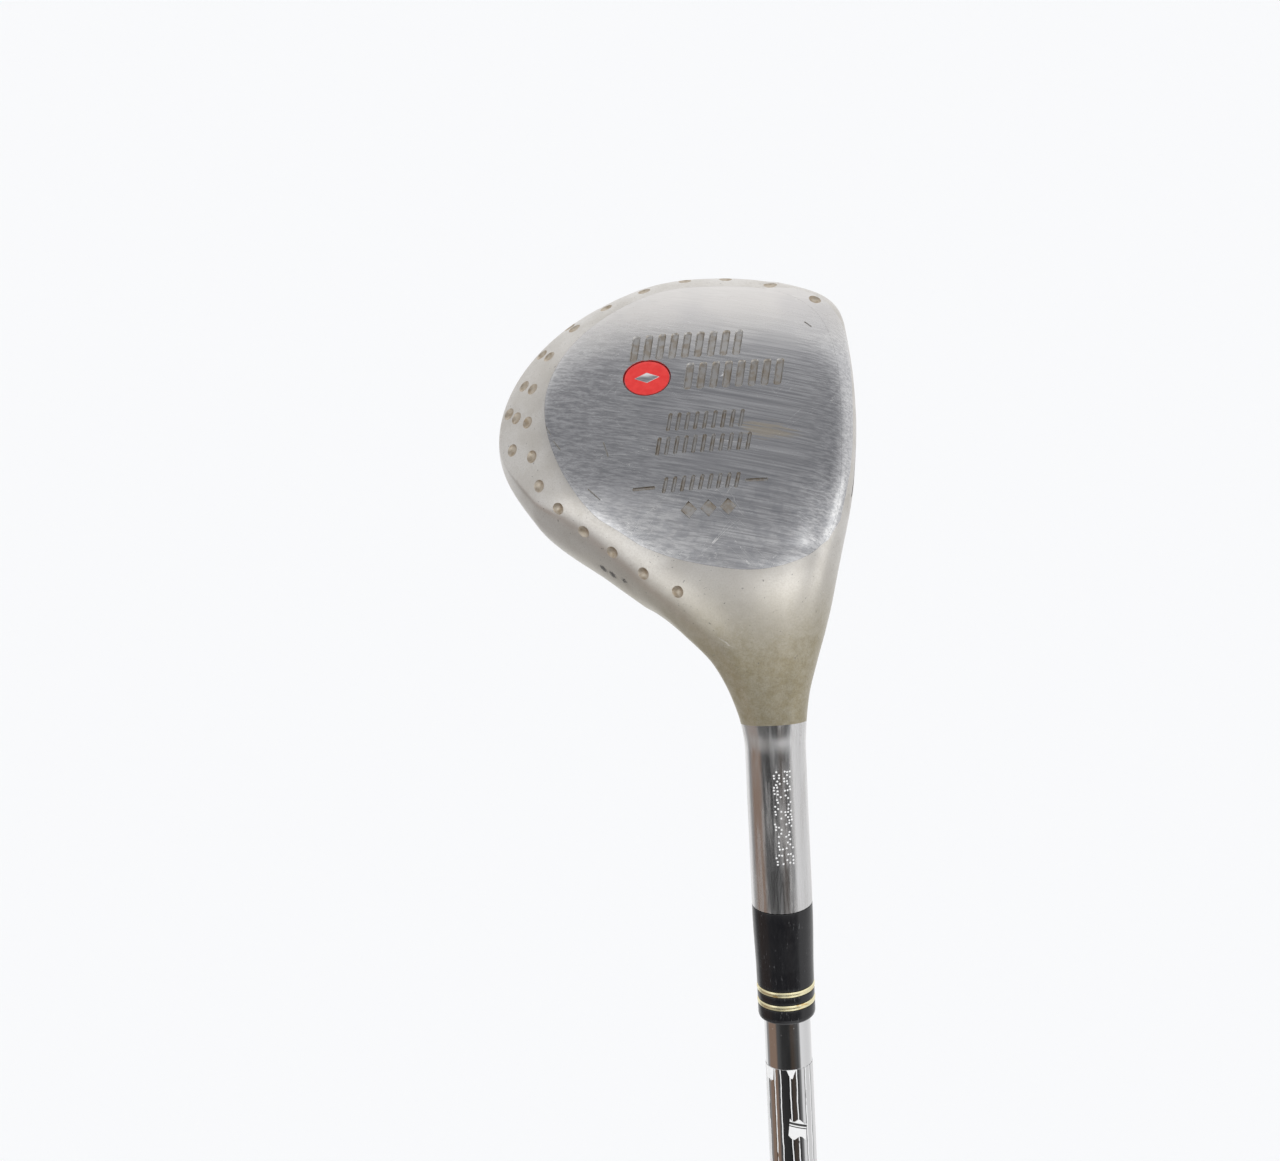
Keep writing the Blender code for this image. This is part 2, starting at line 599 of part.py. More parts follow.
def make_trim_ring(name, top, radius, parts, material):
    """A thin split ring that sits in a groove, with its joint on the front."""
    half_section = RING_WIDTH / 2 - BOND_GAP
    inner = radius - RING_DEPTH + BOND_GAP
    outer = radius + RING_PROUD
    corners = [(outer, -half_section), (outer, half_section), (inner, half_section),
               (inner, -half_section)]
    bm = bmesh.new()
    rings = []
    for k in range(RING_STEPS + 1):
        angle = RING_JOINT + RING_TURN * k / RING_STEPS
        rings.append([bm.verts.new((r * math.cos(angle) * MM, r * math.sin(angle) * MM,
                                    (top - RING_WIDTH / 2 + h) * MM)) for r, h in corners])
    for a, b in zip(rings, rings[1:]):
        for k in range(4):
            bm.faces.new((a[k], a[(k + 1) % 4], b[(k + 1) % 4], b[k]))
    bm.faces.new(rings[0])
    bm.faces.new(rings[-1])
    ring = add_object(name, mesh_from(name, bm), parts, material)
    smooth(ring)


# ---------------------------------------------------------------- grip pieces
def make_grip(parts, looks):
    low = CAP_THICKNESS + FIT_GAP
    top = GRIP_LENGTH
    tape_in = SHAFT_BUTT + BOND_GAP
    tape_out = tape_in + TAPE
    bore = tape_out + BOND_GAP

    def outer(height):
        x = (height - low) / (top - low)
        return GRIP_BUTT + (GRIP_MOUTH - GRIP_BUTT) * x * (1.0 + GRIP_CURVE - GRIP_CURVE * x)

    bead_end = MOUTH_GROOVE[1] + MOUTH_EDGE
    profile = [(GRIP_MOUTH - MOUTH_EDGE, top), (GRIP_MOUTH, top - MOUTH_BEAD[0]),
               (GRIP_MOUTH, top - MOUTH_BEAD[1])]
    profile += [(GRIP_MOUTH - MOUTH_GROOVE_DEPTH, top - depth) for depth in MOUTH_GROOVE]
    profile.append((outer(top - bead_end), top - bead_end))
    first, last = top - GRIP_TOP_BAND, low + GRIP_LOW_BAND
    for k in range(GRIP_BANDS + 1):
        height = first + (last - first) * k / GRIP_BANDS
        profile.append((outer(height), height))
    profile += [(outer(low) + more, low + height) for height, more in GRIP_FLARE]
    profile += [(bore, low), (bore, top)]
    turned("grip", profile, parts, looks["rubber"], 40)
    tape = tube(tape_out, tape_in, TAPE_START, top - TAPE_SHORT)
    turned("grip_tape", tape, parts, looks["tape"])

    rim = GRIP_BUTT + CAP_RIM
    spigot = SHAFT_BUTT - SHAFT_WALL - FIT_GAP
    cap = [(spigot - SPIGOT_CHAMFER, SPIGOT_TOP), (spigot, SPIGOT_TOP - SPIGOT_CHAMFER),
           (spigot, CAP_THICKNESS)]
    cap += [(rim - less, height) for less, height in CAP_EDGE]
    cap += [(VENT, 0.0), (VENT, SPIGOT_TOP)]
    turned("grip_cap", cap, parts, looks["cap_plastic"], 48)


def main():
    clear_scene()
    parts = new_collection("fairway_wood")
    cutters = new_collection("cutters")
    looks = make_materials()
    make_head(parts, cutters, looks)
    make_shaft(parts, looks)
    make_ferrule(parts, looks)
    make_grip(parts, looks)


main()
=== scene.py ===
"""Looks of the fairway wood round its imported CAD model.

Head pieces are built in the heel datum: x towards the face, y towards the toe and z out of
the sole, with the origin where the shaft axis meets the sole plane. Lengths are millimetres
until a mesh is made.
"""
import json
import math

import bmesh
import bpy
import numpy as np
from mathutils import Matrix, Vector
from mathutils.bvhtree import BVHTree

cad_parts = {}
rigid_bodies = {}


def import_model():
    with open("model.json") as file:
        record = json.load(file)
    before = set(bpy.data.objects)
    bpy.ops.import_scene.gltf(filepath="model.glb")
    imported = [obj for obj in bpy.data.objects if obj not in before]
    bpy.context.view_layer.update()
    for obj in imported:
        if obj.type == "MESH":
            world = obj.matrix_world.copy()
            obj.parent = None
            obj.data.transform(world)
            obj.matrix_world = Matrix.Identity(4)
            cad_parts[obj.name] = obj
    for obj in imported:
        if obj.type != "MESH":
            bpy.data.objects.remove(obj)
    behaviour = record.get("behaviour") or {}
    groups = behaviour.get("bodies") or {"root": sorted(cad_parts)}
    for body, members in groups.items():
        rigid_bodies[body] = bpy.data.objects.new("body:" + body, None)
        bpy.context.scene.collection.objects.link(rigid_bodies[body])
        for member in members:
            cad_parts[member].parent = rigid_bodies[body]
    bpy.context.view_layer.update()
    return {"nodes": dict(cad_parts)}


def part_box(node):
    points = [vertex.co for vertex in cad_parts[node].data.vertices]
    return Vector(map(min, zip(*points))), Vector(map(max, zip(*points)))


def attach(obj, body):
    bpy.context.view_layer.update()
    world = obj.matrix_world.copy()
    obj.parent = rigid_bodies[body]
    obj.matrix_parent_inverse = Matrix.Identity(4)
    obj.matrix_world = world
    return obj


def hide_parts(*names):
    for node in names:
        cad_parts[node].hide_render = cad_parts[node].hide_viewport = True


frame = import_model()

MM = 0.001
BODY = "root"

# ---------------------------------------------------------------- dimensions from the frame
HEAD_LOW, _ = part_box("head_body")
FERRULE_LOW, FERRULE_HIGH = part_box("ferrule")
SHAFT_LOW, SHAFT_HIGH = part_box("shaft")
GRIP_LOW, GRIP_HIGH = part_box("grip")
_, CAP_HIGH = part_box("grip_cap")
BAND_LOW, BAND_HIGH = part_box("shaft_band")
HOSEL_END = 68.2                       # heel datum to hosel end, along the shaft
DATUM_HEIGHT = HEAD_LOW.z / MM + HOSEL_END

# ---------------------------------------------------------------- head (as the CAD's, finer)
LIE = math.radians(56.0)
LOFT = math.radians(13.0)
SPINE_DEPTH = 15.0
BEND_RADIUS = 28.0
MIDDLE = 34.8
TOE = 66.3
NOSE_SIDE = -9.0
NOSE_DROP = 6.0
NOSE_CLOSE = (0.85, 1.0)
TOE_REACH = 40.4
TOE_CORNER = 9.0
TOE_POWER = 2.6
SOLE_END = 2.4
FACE_FRONT = 15.9
FACE_BULGE = 500.0
BULGE_CENTRE = 6.0
WALL = 2.6
SOLE_PLATE = 1.6
SOLE_LEDGE = 3.0
PLATE_DEPTH = 5.5
CAVITY_START = 22.0
NECK_START = -4.0
LOFT_PLACES = (12.0, 40.0)
TOE_ROUND = 1.92
TOE_FRONT_TURN = (0.2, 1.0)
DROP_LIMIT = 0.7
HOSEL_RADIUS = 5.55
BORE_RADIUS = 4.75
BORE_DEPTH = 34.0
SOLE_OUTLINE = (             # plan of the sole plate, from the toe round the back and the heel
    (-7.0, 62.0), (-17.4, 61.2), (-27.5, 56.2), (-35.0, 49.0), (-39.0, 40.0), (-38.4, 29.5),
    (-33.6, 18.4), (-25.5, 10.2), (-14.8, 4.0), (-3.0, 0.8), (6.6, 2.8), (12.0, 9.0),
    (14.2, 19.0), (14.8, 34.0), (14.2, 46.0), (11.0, 55.0), (3.5, 60.4),
)
SOLE_EDGE = 2.7
SKIRT_SLOPE = math.tan(math.radians(46.0))
SKIRT_SOFT = 1.6
SKIRT_PLACES = (20.0, 33.0)
SKIRT_SIDE = 0.3
SKIRT_FRONT = (13.0, 2.0)
SKIRT_FADE = 8.0
DIMPLE_WIDTH = 2.4
DIMPLE_DEPTH = 0.4
DIMPLE_PLACES = (            # the row round the skirt, then the second row outside it
    (11.1, 58.1, -3.8), (3.1, 62.2, -4.5), (-5.0, 64.9, -6.1), (-12.5, 64.7, -6.1),
    (-20.0, 62.5, -5.4), (-27.1, 59.6, -5.7), (-33.1, 55.8, -6.2), (-38.0, 49.9, -5.9),
    (-41.3, 43.1, -5.9), (-42.5, 36.1, -6.1), (-42.0, 29.0, -6.5), (-40.9, 23.2, -7.4),
    (-37.6, 18.1, -7.3), (-33.2, 13.5, -8.2), (-28.1, 9.0, -8.5), (-22.6, 4.1, -8.4),
    (-16.5, -0.6, -7.5),
    (-12.2, 66.6, -8.0), (-20.9, 64.8, -8.0), (-28.1, 61.4, -8.0), (-34.0, 57.3, -8.0),
    (-39.3, 51.6, -8.0), (-42.8, 45.0, -7.9), (-44.5, 38.4, -8.1), (-45.5, 32.3, -9.4),
    (-45.8, 40.3, -9.7),
)
SECTIONS = (                 # place, half sizes to back, front, sole and crown, drop, two powers
    (-35.3, 5.55, 5.55, 5.55, 5.55, 0.0, 2.0, 2.0),
    (-4.0, 5.55, 5.55, 5.55, 5.55, 0.0, 2.0, 2.0),
    (1.0, 6.1, 5.9, 5.8, 5.8, 0.0, 2.0, 2.0),
    (6.0, 7.5, 6.6, 6.4, 6.6, 0.2, 2.0, 2.0),
    (12.0, 10.4, 8.3, 8.0, 8.2, 0.8, 2.0, 2.1),
    (18.0, 15.8, 10.2, 10.2, 10.6, 1.4, 2.0, 2.4),
    (24.0, 21.8, 11.8, 12.0, 13.2, 2.0, 2.1, 2.8),
    (33.0, 31.0, 13.5, 13.7, 16.6, 2.6, 2.3, 3.4),
    (44.0, 42.4, 15.1, 14.8, 18.6, 3.0, 2.5, 4.2),
    (57.4, 47.9, 15.9, 15.0, 19.4, 3.0, 2.6, 4.6),
)
BEND_LENGTH = BEND_RADIUS * LIE
BEND_START = -SPINE_DEPTH / math.sin(LIE) - BEND_RADIUS * math.tan(LIE / 2)
STRAIGHT_START = -SPINE_DEPTH / math.tan(LIE) + BEND_RADIUS * math.tan(LIE / 2)
MIDDLE_PLACE = BEND_LENGTH + MIDDLE - STRAIGHT_START
TOE_PLACE = BEND_LENGTH + TOE - STRAIGHT_START
HOSEL_PLACE = -HOSEL_END - BEND_START

DATUM = Matrix.Translation((0, 0, DATUM_HEIGHT * MM)) @ Matrix.Rotation(math.pi / 2 - LIE, 4, "X")
TO_DATUM = DATUM.inverted()

NECK_RINGS = 12              # rings of a loft along the round hosel
TOE_CROWDING = 1.5           # how much closer the rings lie on the toe
SOLE_POINTS = 272            # of the sole outline, as a cutter
SOLE_FINE = 1360             # and as the curve that distances are measured from
ABOVE_SOLE = 30.0            # where the rays start that look for the sole
CORNER_SHARE = 0.45          # of a profile's side that one rounded corner may take
BAR_CORNER = 0.48            # of a bar's width that its corner may take

# ---------------------------------------------------------------- scene helpers
parts = bpy.data.collections.new("fairway_wood")
bpy.context.scene.collection.children.link(parts)
workshop = bpy.data.collections.new("workshop")
bpy.context.scene.collection.children.link(workshop)


def mesh_of(name, points, faces):
    """A mesh from points in mm, its faces turned outwards."""
    mesh = bpy.data.meshes.new(name)
    mesh.from_pydata(np.asarray(points) * MM, [], faces)
    bm = bmesh.new()
    bm.from_mesh(mesh)
    bmesh.ops.recalc_face_normals(bm, faces=bm.faces)
    bm.to_mesh(mesh)
    bm.free()
    return mesh


def put(name, mesh, group=workshop, place=None):
    """A new object in a collection, moved by a matrix if one is given."""
    thing = bpy.data.objects.new(name, mesh)
    group.objects.link(thing)
    if place:
        thing.matrix_world = place
    return thing


def finish_piece(thing, slot, *nodes, angle=30.0):
    """Smooths a piece, lets it ride on the club and stand for its CAD nodes."""
    thing.data.shade_smooth()
    thing.data.set_sharp_from_angle(angle=math.radians(angle))
    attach(thing, BODY)
    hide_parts(*nodes)


def carve(target, *cutters, operation="DIFFERENCE"):
    """Cuts the target by each cutter; the cut faces wear the cutter's material."""
    for cutter in cutters:
        boolean = target.modifiers.new(cutter.name, "BOOLEAN")
        boolean.operation = operation
        boolean.solver = "EXACT"
        boolean.material_mode = "TRANSFER"
        boolean.object = cutter


def settle(thing, name):
    """The object with its modifiers and its place applied, as a part of the club."""
    bpy.context.view_layer.update()
    graph = bpy.context.evaluated_depsgraph_get()
    mesh = bpy.data.meshes.new_from_object(thing.evaluated_get(graph))
    mesh.transform(thing.matrix_world)
    bpy.data.objects.remove(thing)
    return put(name, mesh, parts)


def circle(steps):
    """Points of the unit circle."""
    turns = [2 * math.pi * k / steps for k in range(steps)]
    return [(math.cos(turn), math.sin(turn)) for turn in turns]


def turned_points(profile, steps):
    """A profile of (radius, height), turned about the shaft axis."""
    return [(radius * x, radius * y, height) for radius, height in profile for x, y in circle(steps)]


def ring_faces(rings, count, closed=True):
    """Faces between rings of count points; closed joins the last ring to the first."""
    faces = []
    for ring in range(rings if closed else rings - 1):
        low = ring * count
        high = (ring + 1) % rings * count
        for k in range(count):
            after = (k + 1) % count
            faces.append((low + k, low + after, high + after, high + k))
    return faces


# ---------------------------------------------------------------- sole outline
def closed_curve(points, count):
    """Points of a closed Catmull-Rom curve through the given ones."""
    total = len(points)
    points = np.array(points)
    at = np.arange(count) * total / count
    i = at.astype(int)
    x = (at - i)[:, None]
    p0, p1, p2, p3 = (points[(i + j) % total] for j in (-1, 0, 1, 2))
    return 0.5 * (2 * p1 + (p2 - p0) * x + (2 * p0 - 5 * p1 + 4 * p2 - p3) * x * x
                  + (3 * p1 - p0 - 3 * p2 + p3) * x ** 3)


def outward(curve):
    """Unit normals of a closed curve in its plane, pointing out."""
    along = np.roll(curve, -1, 0) - np.roll(curve, 1, 0)
    along /= np.linalg.norm(along, axis=1)[:, None]
    return np.stack((along[:, 1], -along[:, 0]), 1)


def sole_outline(margin):
    """The sole plate's plan, drawn in by margin."""
    curve = closed_curve(SOLE_OUTLINE, SOLE_POINTS)
    return curve - outward(curve) * margin


SOLE_CURVE = closed_curve(SOLE_OUTLINE, SOLE_FINE)
SOLE_NORMALS = outward(SOLE_CURVE)


def outside_sole(x, y):
    """Distances of plan points outside the sole outline; negative inside it."""
    gap_x = x[:, None] - SOLE_CURVE[None, :, 0]
    gap_y = y[:, None] - SOLE_CURVE[None, :, 1]
    nearest = np.argmin(gap_x ** 2 + gap_y ** 2, 1)
    here = SOLE_CURVE[nearest]
    normal = SOLE_NORMALS[nearest]
    return (x - here[:, 0]) * normal[:, 0] + (y - here[:, 1]) * normal[:, 1]


# ---------------------------------------------------------------- head shape
def ease(low, high, value):
    """Smooth step from 0 at low to 1 at high."""
    x = np.clip((value - low) / (high - low), 0.0, 1.0)
    return x * x * (3.0 - 2.0 * x)


def soft_minimum(a, b, width):
    """The smaller value, with a rounded change over from one to the other."""
    x = np.maximum(width - np.abs(a - b), 0.0) / width
    return np.minimum(a, b) - x * x * width * 0.25


def slope_at(rows, i, column):
    """Slope of a column at row i, which keeps the curve from passing over its points."""
    if i == 0 or i == len(rows) - 1:
        return 0.0
    before, here, after = rows[i - 1], rows[i], rows[i + 1]
    left = (here[column] - before[column]) / (here[0] - before[0])
    right = (after[column] - here[column]) / (after[0] - here[0])
    if left * right <= 0.0:
        return 0.0
    return 2.0 * left * right / (left + right)


def read_sections(place):
    """All columns of SECTIONS at a place on the spine, by monotone cubic curves."""
    rows = SECTIONS
    place = min(max(place, rows[0][0]), rows[-1][0])
    i = max(k for k in range(len(rows) - 1) if rows[k][0] <= place)
    low, high = rows[i], rows[i + 1]
    span = high[0] - low[0]
    x = (place - low[0]) / span
    values = []
    for column in range(1, len(low)):
        a, b = low[column], high[column]
        da = slope_at(rows, i, column) * span
        db = slope_at(rows, i + 1, column) * span
        values.append(a + x * (da + x * (3 * (b - a) - 2 * da - db + x * (2 * (a - b) + da + db))))
    return values


def spine(place):
    """Point on the spine, beside and above the heel datum, and its turn from the shaft axis."""
    turn = min(max(place, 0.0), BEND_LENGTH) / BEND_RADIUS
    y = BEND_RADIUS * (1.0 - math.cos(turn))
    z = BEND_START + BEND_RADIUS * math.sin(turn)
    run = min(place, 0.0) + max(place - BEND_LENGTH, 0.0)
    return y + run * math.sin(turn), z + run * math.cos(turn), turn


def section_size(place, inset):
    """Half sizes and middle of the cross section at a place, drawn in by inset."""
    back, front, sole, crown, drop, back_power, front_power = read_sections(place)
    side = 0.0
    middle = 0.0
    shrink = inset
    if place > MIDDLE_PLACE:
        run = place - MIDDLE_PLACE
        reach = min(run / (TOE_PLACE - inset - MIDDLE_PLACE), 1.0)
        round_end = (1.0 - reach ** TOE_ROUND) ** (1 / TOE_ROUND)
        side = NOSE_SIDE * ease(0.0, 1.0, reach)
        middle = NOSE_DROP * ease(0.0, 1.0, reach)
        shrink = inset * round_end
        face = FACE_FRONT - (run - BULGE_CENTRE) ** 2 / (2 * FACE_BULGE)
        toe_arc = NOSE_SIDE + TOE_REACH * round_end
        front = soft_minimum(face, toe_arc, TOE_CORNER * round_end + 0.01) - side
        back = (back + NOSE_SIDE) * round_end - NOSE_SIDE + side
        sole = NOSE_DROP + (sole - NOSE_DROP) * (1.0 - reach ** SOLE_END) ** (1 / SOLE_END) - middle
        crown = (crown + NOSE_DROP) * round_end - NOSE_DROP + middle
        drop = (drop - middle) * (1.0 - ease(*NOSE_CLOSE, reach))
        front_power += (TOE_POWER - front_power) * ease(*TOE_FRONT_TURN, reach)
    sizes = [max(size - shrink, 0.0) for size in (back, front, sole, crown)]
    return sizes, side, middle, drop, back_power, front_power


def to_datum(x, y, z):
    """Points beside and above the heel datum, turned into its axes."""
    c, s = math.sin(LIE), math.cos(LIE)
    return np.stack((x, c * y + s * z, c * z - s * y), 1)


def section(place, inset, count):
    """One closed cross section of the head, drawn in by inset, in the heel datum."""
    (back, front, sole, crown), side, middle, drop, back_power, front_power = section_size(place, inset)
    y0, z0, turn = spine(place)
    angle = 2 * math.pi * np.arange(count) / count
    c, s = np.cos(angle), np.sin(angle)
    forward = c > 0
    power = np.where(forward, front_power, back_power)
    x = np.abs(c) ** (2 / power)
    lift = np.abs(s) ** (2 / power)
    v_front = lift * np.where(s > 0, sole, -crown)
    u_front = x * front + math.tan(LOFT) * v_front * x * ease(*LOFT_PLACES, place)
    edge = min(drop, DROP_LIMIT * sole) * x * x
    v_back = edge + lift * np.where(s > 0, sole - edge, -crown - edge)
    u = np.where(forward, u_front, -x * back) + side
    v = np.where(forward, v_front, v_back) + middle
    points = to_datum(u, y0 - v * math.cos(turn), z0 + v * math.sin(turn))
    strength = ease(*SKIRT_PLACES, place)
    if strength > 0.0:
        low = (s > 0) & ((c < SKIRT_SIDE) | (place > MIDDLE_PLACE))
        points[low] = skirt_cut(points[low], inset, strength)
    return points


def skirt_cut(points, inset, strength):
    """Lowers points of the sole side to the skirt, which slopes away from the sole plate."""
    away = outside_sole(points[:, 0], points[:, 1])
    strength = strength * ease(*SKIRT_FRONT, points[:, 0])
    limit = -SOLE_EDGE - inset - SKIRT_SLOPE * away * strength + SKIRT_FADE * (1.0 - strength)
    lowered = points.copy()
    lowered[:, 2] = soft_minimum(points[:, 2], limit, SKIRT_SOFT)
    return lowered


def loft_places(inset, start, spacing):
    """Places of a loft's rings on the spine, and the place of its toe's point."""
    end = TOE_PLACE - inset
    places = [start]
    if start < NECK_START:
        places += list(np.linspace(start, NECK_START, NECK_RINGS)[1:])
    first = places[-1]
    steps = round((MIDDLE_PLACE - first) / spacing)
    places += [first + (MIDDLE_PLACE - first) * k / steps for k in range(1, steps + 1)]
    toe_rings = round(TOE_CROWDING * (end - MIDDLE_PLACE) / spacing)
    for k in range(1, toe_rings):
        places.append(MIDDLE_PLACE + (end - MIDDLE_PLACE) * math.sin(math.pi / 2 * k / toe_rings))
    return places, end


def head_loft(name, inset, start, count, spacing):
    """Closed solid of the head's outer shape drawn in by inset, from start to the toe."""
    places, end = loft_places(inset, start, spacing)
    rings = [section(place, inset, count) for place in places]
    y0, z0, turn = spine(end)
    nose = to_datum(np.array([NOSE_SIDE]), np.array([y0 - NOSE_DROP * math.cos(turn)]),
                    np.array([z0 + NOSE_DROP * math.sin(turn)]))
    points = np.concatenate(rings + [nose])
    faces = [tuple(range(count))] + ring_faces(len(rings), count, closed=False)
    last = (len(rings) - 1) * count
    faces += [(last + k, last + (k + 1) % count, len(points) - 1) for k in range(count)]
    return put(name, mesh_of(name, points, faces), place=DATUM)


def prism(name, outline, low, high):
    """A plan outline extruded square to the sole plane from low to high."""
    count = len(outline)
    points = [(x, y, low) for x, y in outline] + [(x, y, high) for x, y in outline]
    faces = [tuple(range(count)), tuple(range(count, 2 * count))] + ring_faces(2, count, closed=False)
    return put(name, mesh_of(name, points, faces), place=DATUM)


def join(name, bms, material):
    """One object from several closed bmeshes, wearing one material."""
    mesh = bpy.data.meshes.new(name)
    whole = bmesh.new()
    for bm in bms:
        piece = bpy.data.meshes.new("piece")
        bmesh.ops.recalc_face_normals(bm, faces=bm.faces)
        bm.to_mesh(piece)
        bm.free()
        whole.from_mesh(piece)
        bpy.data.meshes.remove(piece)
    whole.to_mesh(mesh)
    whole.free()
    mesh.materials.append(material)
    return put(name, mesh, place=DATUM)


def stacked(layers):
    """A closed bmesh through loops of points (mm), each with the same number of points."""
    bm = bmesh.new()
    loops = [[bm.verts.new(Vector(point) * MM) for point in layer] for layer in layers]
    count = len(loops[0])
    for low, high in zip(loops, loops[1:]):
        for k in range(count):
            bm.faces.new((low[k], low[(k + 1) % count], high[(k + 1) % count], high[k]))
    bm.faces.new(loops[0])
    bm.faces.new(loops[-1])
    return bm


def lathe(name, profile, steps=128, group=parts, material=None):
    """A closed profile of (radius, height) in mm, turned about the shaft axis."""
    faces = ring_faces(len(profile), steps)
    thing = put(name, mesh_of(name, turned_points(profile, steps), faces), group)
    if material:
        thing.data.materials.append(material)
    return thing


def softened(profile, radius, steps=4):
    """The closed profile with its corners rounded."""
    rounded = []
    count = len(profile)
    for i, corner in enumerate(profile):
        here = Vector(corner)
        before = Vector(profile[i - 1]) - here
        after = Vector(profile[(i + 1) % count]) - here
        reach = min(radius, before.length * CORNER_SHARE, after.length * CORNER_SHARE)
        start = here + before.normalized() * reach
        end = here + after.normalized() * reach
        for k in range(steps + 1):
            x = k / steps
            rounded.append(tuple(start * (1 - x) ** 2 + here * 2 * x * (1 - x) + end * x * x))
    return rounded


# ---------------------------------------------------------------- surface marks
class Surface:
    """Finds places on the head's outer surface."""

    def __init__(self, thing):
        bm = bmesh.new()
        bm.from_mesh(thing.data)
        self.tree = BVHTree.FromBMesh(bm)
        bm.free()

    def below(self, x, y):
        """The sole's point and normal at a plan point."""
        spot, normal, _, _ = self.tree.ray_cast(Vector((x, y, ABOVE_SOLE)) * MM, Vector((0, 0, -1)))
        return spot / MM, normal

    def near(self, point):
        """The surface's nearest point to a given one, and its normal."""
        spot, normal, _, _ = self.tree.find_nearest(Vector(point) * MM)
        return spot / MM, normal


def axes_at(spot, normal, forward=Vector((1, 0, 0))):
    """A frame on the surface: x along forward, z out of it."""
    x = (forward - normal * forward.dot(normal)).normalized()
    y = normal.cross(x)
    return Matrix.Translation(spot) @ Matrix((x, y, normal)).transposed().to_4x4()


def bar(width, height, slant=0.0, corner=0.3, steps=5):
    """Outline of an upright bar with rounded corners, leaning by slant over its height."""
    outline = []
    corner = min(corner, BAR_CORNER * width, BAR_CORNER * height)
    for turn, (sx, sy) in enumerate(((1, 1), (-1, 1), (-1, -1), (1, -1))):
        for k in range(steps + 1):
            angle = math.pi / 2 * (turn + k / steps)
            x = sx * (width / 2 - corner) + corner * math.cos(angle)
            y = sy * (height / 2 - corner) + corner * math.sin(angle)
            outline.append((x + slant * y / height, y))
    return outline


def lozenge(width, height):
    """Outline of a lozenge."""
    return [(width / 2, 0), (0, height / 2), (-width / 2, 0), (0, -height / 2)]


def grown(outline, margin):
    """An outline moved outwards by margin."""
    points = np.array(outline)
    return [tuple(point) for point in points + outward(points) * margin]


def stamp(outline, frame_here, depth, flare=0.22, rise=0.5):
    """A plug with a flat floor at the depth and walls that lean out by flare up to the surface."""
    slope = flare / depth
    layers = []
    for height in (-depth, 0.0, rise):
        ring = grown(outline, slope * (height + depth))
        layers.append([frame_here @ Vector((x, y, height)) for x, y in ring])
    return stacked(layers)


# ---------------------------------------------------------------- material nodes
UNTURNED = (0, 0, 0)


class Nodes:
    """Short calls for the usual nodes of one node tree."""

    def __init__(self, tree):
        self.tree = tree

    def give(self, socket, value):
        """Links another socket to this one, or sets its value."""
        if isinstance(value, bpy.types.NodeSocket):
            self.tree.links.new(value, socket)
        else:
            socket.default_value = value

    def node(self, kind, settings=None, **inputs):
        made = self.tree.nodes.new(kind)
        for name, value in (settings or {}).items():
            setattr(made, name, value)
        for name, value in inputs.items():
            self.give(made.inputs[name.replace("_", " ")], value)
        return made

    def math(self, operation, *values, clamp=False):
        made = self.node("ShaderNodeMath", {"operation": operation, "use_clamp": clamp})
        for socket, value in zip(made.inputs, values):
            self.give(socket, value)
        return made.outputs[0]

    def plus(self, a, b):
        return self.math("ADD", a, b)

    def minus(self, a, b):
        return self.math("SUBTRACT", a, b)

    def times(self, a, b):
        return self.math("MULTIPLY", a, b)

    def most(self, a, b):
        return self.math("MAXIMUM", a, b)

    def vector(self, operation, a, b):
        """A number worked out from a vector socket and a fixed vector."""
        made = self.node("ShaderNodeVectorMath", {"operation": operation}, Vector=a)
        made.inputs[1].default_value = b
        return made.outputs["Value"]

    def spread(self, value, low, high, out_low=0.0, out_high=1.0):
        """Value's range from low to high, smoothed onto another range."""
        return self.node("ShaderNodeMapRange", {"interpolation_type": "SMOOTHSTEP"}, Value=value,
                         From_Min=low, From_Max=high, To_Min=out_low, To_Max=out_high).outputs[0]

    def between(self, value, fade_in, fade_out):
        """1 between two fades of the value, 0 beyond them."""
        return self.times(self.spread(value, *fade_in), self.spread(value, *fade_out))

    def ridge(self, value, centre, width):
        """1 where value is at centre, falling to 0 at width from it."""
        off = self.math("ABSOLUTE", self.minus(value, centre))
        return self.spread(off, 0.0, width, 1.0, 0.0)

    def mix(self, amount, a, b):
        made = self.node("ShaderNodeMix", {"data_type": "RGBA"}, Factor=amount)
        self.give(made.inputs["A"], a if isinstance(a, bpy.types.NodeSocket) else (*a, 1.0))
        self.give(made.inputs["B"], b if isinstance(b, bpy.types.NodeSocket) else (*b, 1.0))
        return made.outputs["Result"]

    def tint(self, base, colour, mask, amount):
        """The base with a colour laid over it by the mask, at most by amount."""
        return self.mix(self.times(mask, amount), base, colour)


